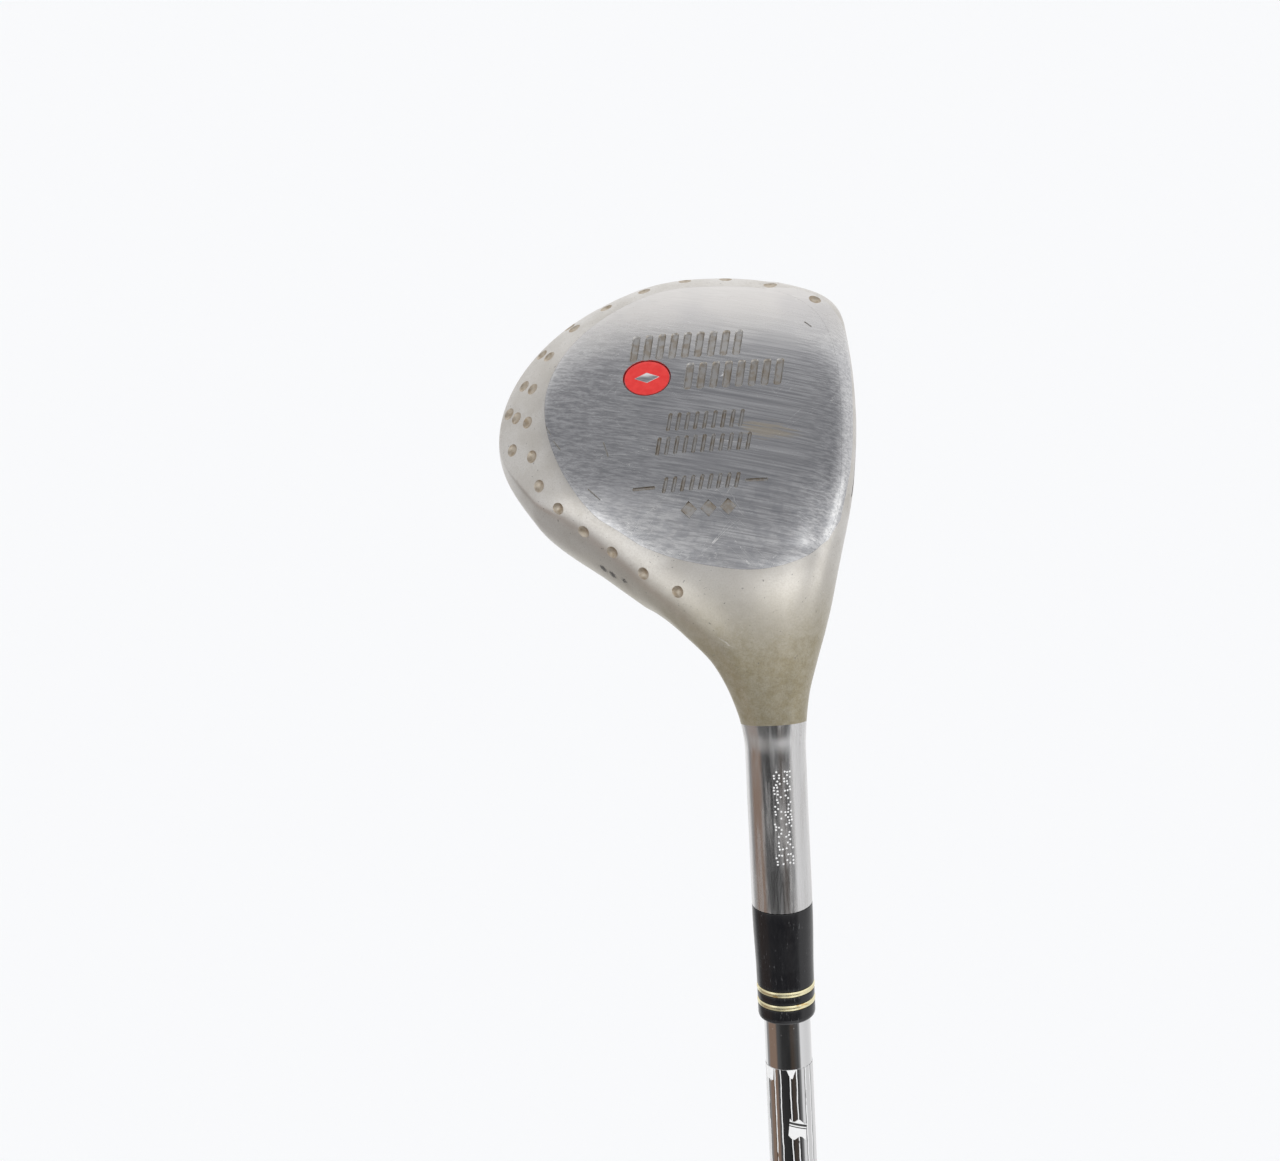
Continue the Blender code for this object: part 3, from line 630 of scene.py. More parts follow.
class Look(Nodes):
    """One material: its nodes work in the object's millimetres, or in the heel datum's."""

    def __init__(self, name, metallic, roughness, in_datum=False):
        self.material = bpy.data.materials.new(name)
        self.material.use_nodes = True
        super().__init__(self.material.node_tree)
        self.shader = self.tree.nodes["Principled BSDF"]
        self.metal(metallic)
        self.rough(roughness)
        self.place = self.node("ShaderNodeTexCoord").outputs["Object"]
        if in_datum:
            self.place = self.node("ShaderNodeMapping", Vector=self.place, Location=TO_DATUM.to_translation(),
                                   Rotation=TO_DATUM.to_euler()).outputs[0]

    def mapped(self, turn=UNTURNED, scale=(1, 1, 1)):
        """The place in millimetres, turned by degrees and then scaled."""
        turned = self.node("ShaderNodeMapping", Vector=self.place, Rotation=[math.radians(a) for a in turn])
        size = [value / MM for value in scale]
        return self.node("ShaderNodeMapping", Vector=turned.outputs[0], Scale=size).outputs[0]

    def noise(self, scale, detail=2.0, roughness=0.5, turn=UNTURNED):
        """Noise with scale waves to the millimetre, the same every way or along each axis."""
        scale = scale if isinstance(scale, tuple) else (scale, scale, scale)
        return self.node("ShaderNodeTexNoise", Vector=self.mapped(turn, scale), Scale=1.0, Detail=detail,
                         Roughness=roughness).outputs["Fac"]

    def axes(self, turn=UNTURNED):
        """The three coordinates in mm."""
        return self.node("ShaderNodeSeparateXYZ", Vector=self.mapped(turn)).outputs

    def colour(self, value):
        self.give(self.shader.inputs["Base Color"], value)

    def metal(self, value):
        self.give(self.shader.inputs["Metallic"], value)

    def rough(self, value):
        self.give(self.shader.inputs["Roughness"], value)

    def bump(self, height, strength, distance, below=None):
        """Bump of a height in mm, over another bump if one is given."""
        made = self.node("ShaderNodeBump", Height=height, Strength=strength, Distance=distance * MM)
        if below is not None:
            self.give(made.inputs["Normal"], below)
        self.give(self.shader.inputs["Normal"], made.outputs[0])
        return made.outputs[0]


# ---------------------------------------------------------------- steel
BELT_TURN = 15.0             # the sole's brush lines, from the x axis
BELT = (0, 0, BELT_TURN)
SCRATCH_PATCH = (0.06, 0.16, 0.16)
PATCH_EDGE = 0.06
STAIN_CENTRE = (1.6, 28.4)
STAIN_HALF = (6.5, 2.4)      # along the brush lines and across them
HEEL_FADE = (26.0, 12.0)     # the heel's wear grows between these places
TOE_HIGHLIGHT_FADE = (42.0, 58.0)      # and the toe's painted highlight, with its rougher satin finish, grows between these
NECK_FADE = (5.0, -15.0)     # the tarnish, by height along the shaft
KNOCKS = ((-29.6, 9.6, -14.6), (-27.9, 8.0, -14.2), (-25.6, 6.2, -13.2))     # dark chips on the skirt
KNOCK_EDGE = (2.3, 1.9)
SHAFT_WAY = (90.0 - math.degrees(LIE), 0.0, 0.0)


def scratches(look, turn, along, across, width, keep):
    """Thin straight scratches in one direction, in patches; keep is the share of patches."""
    way = (0, 0, turn)
    lines = look.noise((along, across, across), 1.0, turn=way)
    patch = look.noise(SCRATCH_PATCH, 1.0, turn=way)
    shown = look.spread(patch, 1.0 - keep, 1.0 - keep + PATCH_EDGE)
    return look.times(look.ridge(lines, 0.5, width), shown)


def stain_amount(look):
    """1 in the middle of the sole's stain, which runs along the brush lines, 0 outside it."""
    middle = Matrix.Rotation(math.radians(BELT_TURN), 2) @ Vector(STAIN_CENTRE)
    far = 0.0
    for socket, centre, half in zip(look.axes(BELT), middle, STAIN_HALF):
        off = look.math("DIVIDE", look.minus(socket, centre), half)
        far = look.plus(look.times(off, off), far)
    fray = look.noise((0.16, 2.2, 2.2), 3.0, turn=BELT)
    fray = look.times(look.minus(fray, 0.5), 3.0)
    return look.minus(look.plus(1.0, fray), far)


def brushed_steel():
    """Belt-brushed sole with wear: fine lines, streaks, stray scratches and one tan stain; the toe also gets
    a painted highlight, a lighter and flatter colour.
    """
    look = Look("brushed_steel", 1.0, 0.3, in_datum=True)
    fine = look.noise((0.08, 8.5, 8.5), 2.0, 0.6, BELT)
    streak = look.noise((0.035, 2.3, 2.3), 3.0, 0.6, BELT)
    tone = look.plus(look.times(fine, 0.35), look.times(streak, 0.65))
    shade = look.spread(tone, 0.36, 0.64)
    heel = look.spread(look.axes()[1], *HEEL_FADE)
    toe = look.spread(look.axes()[1], *TOE_HIGHLIGHT_FADE)
    base = look.mix(shade, (0.47, 0.47, 0.485), (0.73, 0.73, 0.74))
    # painted highlight: the toe's colour is made lighter and flatter, standing in for the bright surroundings
    # it reflects
    base = look.mix(toe, base, look.mix(shade, (0.655, 0.635, 0.62), (0.70, 0.68, 0.665)))
    base = look.tint(base, (0.43, 0.43, 0.46), look.spread(look.noise(0.10, 3.0), 0.4, 0.68), 0.22)
    smudge = look.spread(look.noise(0.45, 4.0, 0.65), 0.42, 0.62)
    base = look.tint(base, (0.34, 0.35, 0.38), look.times(smudge, heel), 0.35)
    base = look.tint(base, (0.74, 0.66, 0.53), look.spread(stain_amount(look), 0.25, 1.0), 0.75)
    marks = scratches(look, BELT_TURN - 5.0, 0.014, 1.1, 0.008, 0.46)
    crossing = scratches(look, -40.0, 0.012, 0.8, 0.006, 0.45)
    steep = scratches(look, 52.0, 0.012, 0.7, 0.005, 0.43)
    worn = look.times(look.most(crossing, steep), look.spread(heel, 0.0, 1.0, 0.35, 1.0))
    worn = look.most(worn, look.times(marks, 0.7))
    look.colour(look.tint(base, (0.92, 0.91, 0.90), worn, 0.75))
    rough = look.plus(look.spread(tone, 0.3, 0.7, 0.17, 0.25), look.times(toe, 0.10))
    look.rough(look.plus(rough, look.times(worn, 0.15)))
    look.bump(worn, 0.25, 0.012, look.bump(tone, 0.12, 0.011))
    return look.material


def blasted_steel():
    """Bead-blasted casting, grey and warm, with tarnish that thickens towards the neck."""
    look = Look("blasted_steel", 1.0, 0.4, in_datum=True)
    grain = look.noise(3.6, 4.0, 0.65)
    cloud = look.noise(0.16, 4.0, 0.6)
    fleck = look.noise(3.4, 4.0, 0.75)
    blotch = look.noise(0.55, 6.0, 0.8)
    speck = look.spread(look.noise(1.9), 0.70, 0.74)
    up = look.vector("DOT_PRODUCT", look.mapped(), (0.0, math.cos(LIE), math.sin(LIE)))
    neck = look.spread(look.plus(up, look.times(cloud, 9.0)), *NECK_FADE)
    clean = look.mix(look.spread(cloud, 0.35, 0.7), (0.66, 0.64, 0.615), (0.57, 0.545, 0.51))
    clean = look.tint(clean, (0.46, 0.43, 0.39), look.spread(grain, 0.4, 0.65), 0.3)
    tarnished = look.mix(look.spread(blotch, 0.30, 0.70), (0.325, 0.28, 0.18), (0.43, 0.39, 0.30))
    tarnished = look.tint(tarnished, (0.23, 0.20, 0.14), look.spread(fleck, 0.48, 0.62), 0.4)
    rubbed = scratches(look, 35.0, 0.02, 1.0, 0.006, 0.42)
    tarnished = look.tint(tarnished, (0.72, 0.70, 0.66), rubbed, 0.7)
    base = look.mix(neck, clean, tarnished)
    base = look.tint(base, (0.12, 0.12, 0.12), speck, 0.6)
    for knock in KNOCKS:
        ragged = look.plus(look.vector("DISTANCE", look.mapped(), knock), look.times(fleck, 2.4))
        base = look.mix(look.spread(ragged, *KNOCK_EDGE), base, (0.10, 0.095, 0.09))
    look.colour(base)
    look.metal(look.spread(neck, 0.0, 1.0, 0.8, 0.5))
    look.rough(look.spread(grain, 0.3, 0.7, 0.28, 0.40))
    look.bump(grain, 0.25, 0.03)
    return look.material


def polished_steel():
    """Polished hosel with rubbed streaks along its length and a few knocks."""
    look = Look("polished_steel", 1.0, 0.12, in_datum=True)
    streak = look.noise((1.1, 1.1, 0.07), 3.0, 0.65, SHAFT_WAY)
    grain = look.noise((2.2, 2.2, 0.7), 3.0, 0.7, SHAFT_WAY)
    smear = look.spread(streak, 0.46, 0.68)
    base = look.mix(smear, (0.72, 0.715, 0.72), (0.64, 0.63, 0.625))
    look.colour(look.tint(base, (0.88, 0.88, 0.88), look.spread(grain, 0.68, 0.72), 0.4))
    look.metal(look.spread(smear, 0.0, 1.0, 0.97, 0.86))
    look.rough(look.plus(look.spread(streak, 0.35, 0.7, 0.12, 0.26), look.times(grain, 0.06)))
    look.bump(grain, 0.05, 0.03)
    return look.material


# ---------------------------------------------------------------- plastics, chrome and film
STRIPE_TURN = 40.0           # degrees from one pair of pin stripes to the next
STRIPE_START = 9.5
STRIPE = (8.0, 2.5)          # a stripe's place beside the pair's middle, and its half width
STRIPE_SHADOW = (10.4, 2.6)
FILM_TEARS = ((-58.0, 26.0), (4.0, 15.0))    # where the film's upper edge is torn: middle and half width
FLAKE_LINES = ((1.05, 0.40), (0.45, 0.18))   # height over the flake's middle, and half width
FLAKE_SLOPE = 0.35           # how much the flake sinks towards the face
FLAKE_SIDE = 1.0             # its middle, towards the face


def black_plastic():
    """Glossy black ferrule with fine scuffs along the shaft."""
    look = Look("black_plastic", 0.0, 0.2)
    scuff = look.noise((2.4, 2.4, 0.45), 3.0, 0.7)
    worn = look.spread(scuff, 0.64, 0.70)
    look.colour(look.tint((0.010, 0.010, 0.012), (0.22, 0.22, 0.23), worn, 0.35))
    look.rough(look.plus(look.spread(scuff, 0.3, 0.7, 0.14, 0.26), look.times(worn, 0.25)))
    look.bump(scuff, 0.15, 0.03)
    return look.material


def chrome():
    """Chromed tube with pits and rubbed specks."""
    look = Look("chrome", 1.0, 0.06)
    pits = look.noise((1.5, 1.5, 0.9), 4.0, 0.75)
    speck = look.spread(pits, 0.66, 0.70)
    cloud = look.noise((0.5, 0.5, 0.12))
    look.colour(look.tint((0.76, 0.76, 0.77), (0.92, 0.92, 0.92), speck, 0.6))
    look.rough(look.plus(look.spread(cloud, 0.3, 0.7, 0.045, 0.09), look.times(speck, 0.4)))
    look.bump(pits, 0.08, 0.03)
    return look.material


def torn_edge(look, degrees, depth):
    """1 on the film's torn upper edge, deeper in two places round the shaft."""
    (left, left_width), (front, front_width) = FILM_TEARS
    deep = look.times(look.spread(look.ridge(degrees, left, left_width), 0.25, 0.55), 2.7)
    deep = look.most(deep, look.times(look.ridge(degrees, front, front_width), 2.2))
    ragged = look.times(look.noise((1.1, 1.1, 0.9), 3.0), 1.5)
    return look.spread(look.minus(look.plus(deep, ragged), depth), 0.9, 1.15)


def print_film(top):
    """Clear film over the chrome with pairs of white pin stripes and a ragged upper edge."""
    look = Look("print_film", 1.0, 0.08)
    x, y, z = look.axes()
    degrees = look.times(look.math("ARCTAN2", x, look.times(y, -1.0)), 180.0 / math.pi)
    turned = look.plus(degrees, look.times(look.noise((0.8, 0.8, 0.35)), 4.0))
    pair = look.math("FLOORED_MODULO", look.plus(turned, STRIPE_START), STRIPE_TURN)
    pair = look.math("ABSOLUTE", look.minus(pair, STRIPE_TURN / 2))
    worn = look.spread(look.noise((0.9, 0.9, 0.22)), 0.62, 0.66)
    line = look.times(look.spread(look.ridge(pair, *STRIPE), 0.35, 0.55), look.minus(1.0, worn))
    shadow = look.spread(look.ridge(pair, *STRIPE_SHADOW), 0.3, 0.7)
    white = look.most(line, torn_edge(look, degrees, look.minus(top, z)))
    base = look.tint((0.74, 0.74, 0.75), (0.10, 0.10, 0.10), shadow, 0.75)
    look.colour(look.mix(white, base, (0.93, 0.93, 0.93)))
    look.metal(look.math("SUBTRACT", 1.0, white, clamp=True))
    look.rough(look.spread(white, 0.0, 1.0, 0.07, 0.35))
    return look.material


def flake_film(centre):
    """The torn bit's white backing with two dark printed lines; centre is its height in mm."""
    look = Look("flake_film", 0.0, 0.4)
    x, _, z = look.axes()
    up = look.minus(look.plus(z, look.times(x, FLAKE_SLOPE)), centre + FLAKE_SLOPE * FLAKE_SIDE)
    lines = look.most(*(look.ridge(up, *line) for line in FLAKE_LINES))
    look.colour(look.mix(look.spread(lines, 0.2, 0.5), (0.92, 0.92, 0.92), (0.04, 0.04, 0.04)))
    fuzz = look.noise(3.0)
    look.rough(look.spread(fuzz, 0.3, 0.7, 0.3, 0.5))
    look.bump(fuzz, 0.2, 0.02)
    return look.material


def rubber():
    """Moulded rubber: near black, with dust in the pattern."""
    look = Look("rubber", 0.0, 0.7)
    grain = look.noise(2.5, 5.0, 0.7)
    cloud = look.noise((0.08, 0.08, 0.03), 3.0)
    base = look.mix(look.spread(cloud, 0.35, 0.7), (0.016, 0.016, 0.017), (0.034, 0.033, 0.032))
    look.colour(look.tint(base, (0.07, 0.07, 0.068), look.spread(grain, 0.5, 0.75), 0.4))
    look.rough(look.spread(grain, 0.3, 0.7, 0.62, 0.82))
    look.bump(grain, 0.4, 0.05)
    return look.material


# ---------------------------------------------------------------- materials of one noise
def two_tones(name, metallic, noise, tones, mask, rough, bump):
    """Two tones shared out by one noise, which also sets roughness and bump.

    noise holds scale, detail and roughness, and mask the second tone's range and amount.
    """
    look = Look(name, metallic, rough[0])
    cloud = look.noise(*noise)
    look.colour(look.tint(*tones, look.spread(cloud, *mask[:2]), mask[2]))
    look.rough(look.spread(cloud, 0.3, 0.7, *rough))
    look.bump(cloud, *bump)
    return look.material


def plain_metal(name, colour, roughness, grime=(0.3, 0.27, 0.22), amount=0.5, scale=1.5):
    """A metal with blotches of grime and a fine tooth."""
    return two_tones(name, 1.0, (scale, 4.0, 0.6), (colour, grime), (0.4, 0.65, amount),
                     (roughness, roughness * 1.3), (0.2, 0.02))


def plain_solid(name, colour, other, roughness, scale, depth=0.03):
    """A non-metal of two close tones with a fine grain."""
    return two_tones(name, 0.0, (scale, 4.0, 0.6), (colour, other), (0.35, 0.68, 1.0),
                     (roughness * 0.85, roughness * 1.15), (0.3, depth))


def gold_metal():
    """Gold-coloured bands with brown tarnish spots."""
    return two_tones("gold", 1.0, ((0.75, 0.75, 1.5), 3.0, 0.5), ((0.93, 0.86, 0.56), (0.70, 0.45, 0.14)),
                     (0.56, 0.70, 0.8), (0.16, 0.3), (0.15, 0.03))


STEEL = brushed_steel()
BLASTED = blasted_steel()
POLISHED = polished_steel()
DIMPLE = plain_metal("dimple_steel", (0.56, 0.50, 0.42), 0.42, (0.40, 0.32, 0.23), 0.8, 0.9)
STAMPED = plain_metal("stamped_steel", (0.52, 0.51, 0.50), 0.30, (0.36, 0.31, 0.25), 0.8, 0.7)
PEENED = plain_solid("peened_steel", (0.97, 0.97, 0.97), (0.88, 0.88, 0.88), 0.6, 3.0)
SCAR = plain_metal("scarred_steel", (0.32, 0.31, 0.30), 0.4)
SCORED = plain_metal("scored_steel", (0.24, 0.24, 0.24), 0.45)
ENAMEL = plain_solid("red_enamel", (0.80, 0.050, 0.045), (0.74, 0.032, 0.030), 0.22, 0.8, 0.01)
BLACK = black_plastic()
CHROME = chrome()
GOLD = gold_metal()
RUBBER = rubber()
CAP_PLASTIC = plain_solid("cap_plastic", (0.022, 0.022, 0.023), (0.040, 0.040, 0.041), 0.42, 1.4)
INSIDE = {
    "foam_core": plain_solid("foam", (0.78, 0.70, 0.46), (0.66, 0.58, 0.36), 0.9, 0.7, 0.3),
    "hosel_adhesive": plain_solid("epoxy", (0.70, 0.62, 0.40), (0.60, 0.51, 0.30), 0.35, 0.5),
    "tip_plug": plain_solid("cork", (0.52, 0.35, 0.20), (0.30, 0.18, 0.10), 0.9, 1.1, 0.2),
    "swing_weight": plain_metal("lead", (0.34, 0.34, 0.37), 0.55, (0.22, 0.22, 0.24)),
    "grip_tape": plain_solid("tape", (0.80, 0.72, 0.54), (0.72, 0.63, 0.45), 0.8, 0.9, 0.05),
}


# ---------------------------------------------------------------- head pieces
SHELL = (400, 0.6)           # points round a ring of the loft, and the rings' spacing
FLOOR_SHELL = (160, 1.5)
CAVITY_SHELL = (96, 2.5)
TRIM_SHELL = (200, 1.2)
PLATE_START = 12.0           # where on the spine the lofts for plate and cutters start
FLOOR_START = 10.0
PLAN_TOP = 12.0              # the plan cutters reach this far over the sole
OPENING_LOW = -12.0
BORE_STEPS = 64
BORE_MOUTH = 5.0             # the bore's cutter stands out of the hosel by this much
AXIS_RADIUS = 0.01           # of a cutter's end at the axis
FLOOR_GAP = 0.1              # between the plate and the ledge's floor
POLISH_HEIGHT = -30.0        # where the polished hosel ends on the sole side, from the datum
POLISH_TILT = math.radians(18.0)
POLISH_FRONT = -5.5
SEAM = 0.02                  # between sole plate and casting, ground flush
DIMPLE_RING = 40
DIMPLE_RINGS = 10
DIMPLE_RIM = ((0.12, 0.10), (0.5, 0.8))      # outside the dish, and height
GROUND_LOW = -5.2            # how far down the leading edge the ground strip may reach
GROUND_EDGE = (              # its plan from heel to toe, in front of the sole plate
    (7.9, 3.6), (11.3, 6.9), (13.7, 11.2), (14.9, 16.0), (16.0, 21.0), (16.7, 27.0), (17.0, 33.0),
    (17.1, 39.0), (17.0, 45.0), (16.6, 50.0), (15.7, 54.0), (13.6, 57.6), (10.6, 60.0), (7.4, 61.2),
)
GROUND_NEAR = 1.5            # faces this close to the strip's edge are cut along it
GROUND_SHARE = (-0.3, 1.3)   # over this stretch of each side
STAMP_DEPTH = 0.32
BAR_ROWS = (                 # first bar, pitch and count, then a bar's width, height and slant, and flare
    (-22.2, 47.8, 2.35, 9, (0.95, 5.3, 0.9), 0.26),
    (-12.6, 40.9, 2.35, 8, (0.95, 5.3, 0.9), 0.26),
    (-16.6, 31.3, 1.65, 9, (0.34, 3.4, 0.7), 0.2),
    (-18.8, 26.4, 1.65, 11, (0.34, 3.4, 0.7), 0.2),
    (-17.9, 18.4, 1.65, 9, (0.34, 2.8, 0.7), 0.2),
    (-21.8, 18.2, 20.6, 2, (3.9, 0.3, 0.0), 0.18),
)
LOZENGES = (-13.8, 13.2, 3.6, 3)             # first lozenge, pitch and count
LOZENGE_SIZE = (2.6, 3.0)
LOZENGE_FLARE = 0.22
PEEN_SEED = 4
PEEN_ROWS = 31
PEEN_COLUMNS = (-0.6, -0.1, 0.4, 1.4, 1.95, 2.5)   # beside the hosel's middle, towards the face
PEEN_SHARE = 0.55            # of the places that hold a pit
PEEN_JITTER = 0.3
PEEN_GAP = 0.52              # least distance between two pits' middles
PEEN_RADIUS = 0.2
PEEN_POINTS = 8
PEEN_LAYERS = ((0.5, -0.06), (1.0, 0.0), (1.2, 0.1))     # share of the radius, height
PEEN_TOP = 39.3              # first row, from the heel datum
PEEN_PITCH = 0.62
SCARS = (                    # place on the sole, length and direction
    (-38.9, 33.0, 2.6, -64.0), (-37.3, 29.4, 2.4, -58.0), (-28.4, 27.0, 3.0, -76.0),
    (-30.9, 18.6, 3.2, -46.0), (9.6, 51.5, 1.6, -42.0),
)
SCAR_WIDTH = 0.08
SCAR_CUT = (0.06, 0.1, 0.3)  # depth, flare and rise
FACE_LINES = 9
FACE_PITCH = 3.0
FACE_TOP_LINE = -6.0
FACE_LINE = (0.6, 0.3)       # width and depth
FACE_MIDDLE = 34.0
FACE_LONGEST = 3             # the longest line's number, from 0
FACE_REACH = 19.0            # its half length
FACE_TAPER = (0.35, 1.6)     # how the others shorten, by the distance in lines and its power
FACE_BLOCK = (6.0, 30.0)     # the blocks' ends, inside and outside the face
BADGE_CENTRE = (-20.3, 41.2)
BADGE_HALF = (4.2, 3.65)
BADGE_POCKET = 0.55
BADGE_FLARE = 0.25
BADGE_GAP = 0.06
OVAL_POINTS = 64
ENAMEL_LAYERS = (            # share of the oval, and height
    (1.0, -0.52), (1.0, -0.20), (0.985, -0.15), (0.94, -0.12), (0.8, -0.09), (0.6, -0.07), (0.3, -0.06),
    (0.05, -0.055),
)
INLAY_SIZE = (4.6, 2.2)
INLAY_LAYERS = ((1.0, -0.3), (1.0, -0.05), (0.9, 0.0))


def layered(outline, frame_here, layers):
    """A closed bmesh on a surface: the outline at each layer's share of its size and height."""
    return stacked([[frame_here @ Vector((x * share, y * share, height)) for x, y in outline]
                    for share, height in layers])


def dimple_plugs(surface):
    """Shallow round dishes with a softened rim."""
    rim = DIMPLE_WIDTH / 2
    ball = (rim ** 2 + DIMPLE_DEPTH ** 2) / (2 * DIMPLE_DEPTH)
    layers = []
    for k in range(1, DIMPLE_RINGS + 1):
        radius = rim * k / DIMPLE_RINGS
        layers.append((radius, ball - math.sqrt(ball * ball - radius * radius) - DIMPLE_DEPTH))
    layers += [(rim + more, height) for more, height in DIMPLE_RIM]
    ring = circle(DIMPLE_RING)
    return [layered(ring, axes_at(*surface.near(place)), layers) for place in DIMPLE_PLACES]


def peened_plugs(surface):
    """Small uneven pits in two columns on the hosel, as from a dot peening tool."""
    chance = np.random.default_rng(PEEN_SEED)
    places = []
    for row in range(PEEN_ROWS):
        for side in PEEN_COLUMNS:
            kept, shift, slip = chance.random(3)
            x = side + PEEN_JITTER * (shift - 0.5)
            z = -PEEN_TOP - PEEN_PITCH * (row + 0.5 * slip)
            if kept < PEEN_SHARE and all(math.hypot(x - a, z - b) > PEEN_GAP for a, b in places):
                places.append((x, z))
    pit = [(PEEN_RADIUS * x, PEEN_RADIUS * y) for x, y in circle(PEEN_POINTS)]
    plugs = []
    for x, z in places:
        world = Vector((x, -HOSEL_RADIUS, DATUM_HEIGHT + z))
        plugs.append(layered(pit, axes_at(*surface.near(TO_DATUM @ (world * MM) / MM)), PEEN_LAYERS))
    return plugs


def stamped_rows(surface):
    """The sole's stamped ornament: rows of plain slanted bars, two dashes and three lozenges."""
    shapes = []
    for x, y, pitch, count, size, flare in BAR_ROWS:
        shapes += [(x + pitch * k, y, bar(*size), flare) for k in range(count)]
    x, y, pitch, count = LOZENGES
    shapes += [(x + pitch * k, y, lozenge(*LOZENGE_SIZE), LOZENGE_FLARE) for k in range(count)]
    return [stamp(outline, axes_at(*surface.below(x, y)), STAMP_DEPTH, flare)
            for x, y, outline, flare in shapes]


def scars(surface):
    """Shallow dark knocks on the sole, as thin slanted grooves."""
    plugs = []
    for x, y, length, turn in SCARS:
        frame_here = axes_at(*surface.below(x, y)) @ Matrix.Rotation(math.radians(turn), 4, "Z")
        plugs.append(stamp(bar(length, SCAR_WIDTH, corner=SCAR_WIDTH / 2), frame_here, *SCAR_CUT))
    return plugs


def face_slots():
    """Blocks for the face's score lines, which an inner loft trims to one depth."""
    slots = []
    half = FACE_LINE[0] / 2
    for k in range(FACE_LINES):
        height = FACE_TOP_LINE - FACE_PITCH * k
        reach = FACE_REACH - FACE_TAPER[0] * abs(k - FACE_LONGEST) ** FACE_TAPER[1]
        slots.append(stacked([[(x, FACE_MIDDLE + side * reach, height + lift * half)
                               for side, lift in ((-1, -1), (1, -1), (1, 1), (-1, 1))]
                              for x in FACE_BLOCK]))
    return slots


def grind_front(bm):
    """Cuts the casting along the ground strip's edge; gives the faces inside it the sole's steel."""
    border = [Vector((x, y, 0.0)) for x, y in GROUND_EDGE]
    sides = list(zip(border, border[1:]))
    for start, end in sides:
        along = end - start
        across = Vector((along.y, -along.x, 0.0)).normalized()
        near = []
        for face in bm.faces:
            off = face.calc_center_median() / MM - start
            share = off.dot(along) / along.length_squared
            beside = abs(off.dot(across)) < GROUND_NEAR and GROUND_SHARE[0] < share < GROUND_SHARE[1]
            if beside and off.z > GROUND_LOW:
                near.append(face)
        geometry = near + list({edge for face in near for edge in face.edges})
        geometry += list({vert for face in near for vert in face.verts})
        bmesh.ops.bisect_plane(bm, geom=geometry, plane_co=start * MM, plane_no=across)
    for face in bm.faces:
        spot = face.calc_center_median() / MM
        if spot.z < GROUND_LOW or spot.y < border[0].y or spot.y > border[-1].y or spot.x < 0.0:
            continue
        start, end = next(side for side in reversed(sides) if side[0].y <= spot.y)
        share = (spot.y - start.y) / (end.y - start.y)
        if spot.x < start.x + share * (end.x - start.x):
            face.material_index = 2


def polish_hosel(bm):
    """Cuts the casting where its blasting starts; gives the faces on the hosel's side the polish."""
    point = TO_DATUM @ Vector((0.0, POLISH_FRONT * MM, (DATUM_HEIGHT + POLISH_HEIGHT) * MM))
    normal = TO_DATUM.to_3x3() @ Vector((0.0, math.sin(POLISH_TILT), math.cos(POLISH_TILT)))
    bmesh.ops.bisect_plane(bm, geom=bm.verts[:] + bm.edges[:] + bm.faces[:], plane_co=point,
                           plane_no=normal)
    for face in bm.faces:
        face.material_index = int((face.calc_center_median() - point).dot(normal) < 0.0)


def make_body():
    """The hollow casting with its marks; returns its plain outer surface."""
    body = head_loft("body_shell", 0.0, HOSEL_PLACE, *SHELL)
    surface = Surface(body)
    bm = bmesh.new()
    bm.from_mesh(body.data)
    polish_hosel(bm)
    grind_front(bm)
    bm.to_mesh(body.data)
    bm.free()
    for material in (BLASTED, POLISHED, STEEL):
        body.data.materials.append(material)

    recess = prism("recess", sole_outline(0.0), -PLATE_DEPTH, PLAN_TOP)
    carve(recess, head_loft("recess_floor", SOLE_PLATE + FLOOR_GAP, FLOOR_START, *FLOOR_SHELL))
    cavity = head_loft("cavity", WALL, CAVITY_START, *CAVITY_SHELL)
    opening = prism("opening", sole_outline(SOLE_LEDGE), OPENING_LOW, PLAN_TOP)
    hosel_low = DATUM_HEIGHT - HOSEL_END
    bottom, mouth = hosel_low + BORE_DEPTH, hosel_low - BORE_MOUTH
    bore = lathe("bore", [(AXIS_RADIUS, bottom), (BORE_RADIUS, bottom), (BORE_RADIUS, mouth),
                          (AXIS_RADIUS, mouth)], BORE_STEPS, workshop)
    slots = join("slots", face_slots(), SCORED)
    trim = head_loft("slot_floor", FACE_LINE[1], FLOOR_START, *TRIM_SHELL)
    trim.data.materials.append(SCORED)
    carve(slots, trim)
    for cutter in (recess, cavity, opening, bore):
        cutter.data.materials.append(BLASTED)
    dimples = join("dimples", dimple_plugs(surface), DIMPLE)
    peened = join("peened", peened_plugs(surface), PEENED)
    carve(body, recess, cavity, opening, bore, dimples, peened, slots)
    body = settle(body, "head_casting")
    finish_piece(body, "blasted_steel", "head_body")
    return surface


def make_sole(surface):
    """The sole plate with its pocket, ornament and knocks."""
    plate = head_loft("plate_shell", 0.0, PLATE_START, *SHELL)
    plan = prism("plate_plan", sole_outline(SEAM), SEAM - PLATE_DEPTH, PLAN_TOP)
    inside = head_loft("plate_inside", SOLE_PLATE, FLOOR_START, *FLOOR_SHELL)
    for piece in (plate, plan, inside):
        piece.data.materials.append(STEEL)
    edge = [(x * BADGE_HALF[0], y * BADGE_HALF[1]) for x, y in circle(OVAL_POINTS)]
    frame_here = axes_at(*surface.below(*BADGE_CENTRE))
    pocket = join("pocket", [stamp(edge, frame_here, BADGE_POCKET, BADGE_FLARE)], STEEL)
    marks = join("marks", stamped_rows(surface), STAMPED)
    knocks = join("knocks", scars(surface), SCAR)
    carve(plate, plan, operation="INTERSECT")
    carve(plate, inside, pocket, marks, knocks)
    plate = settle(plate, "sole_brushed")
    finish_piece(plate, "brushed_steel", "sole_plate")


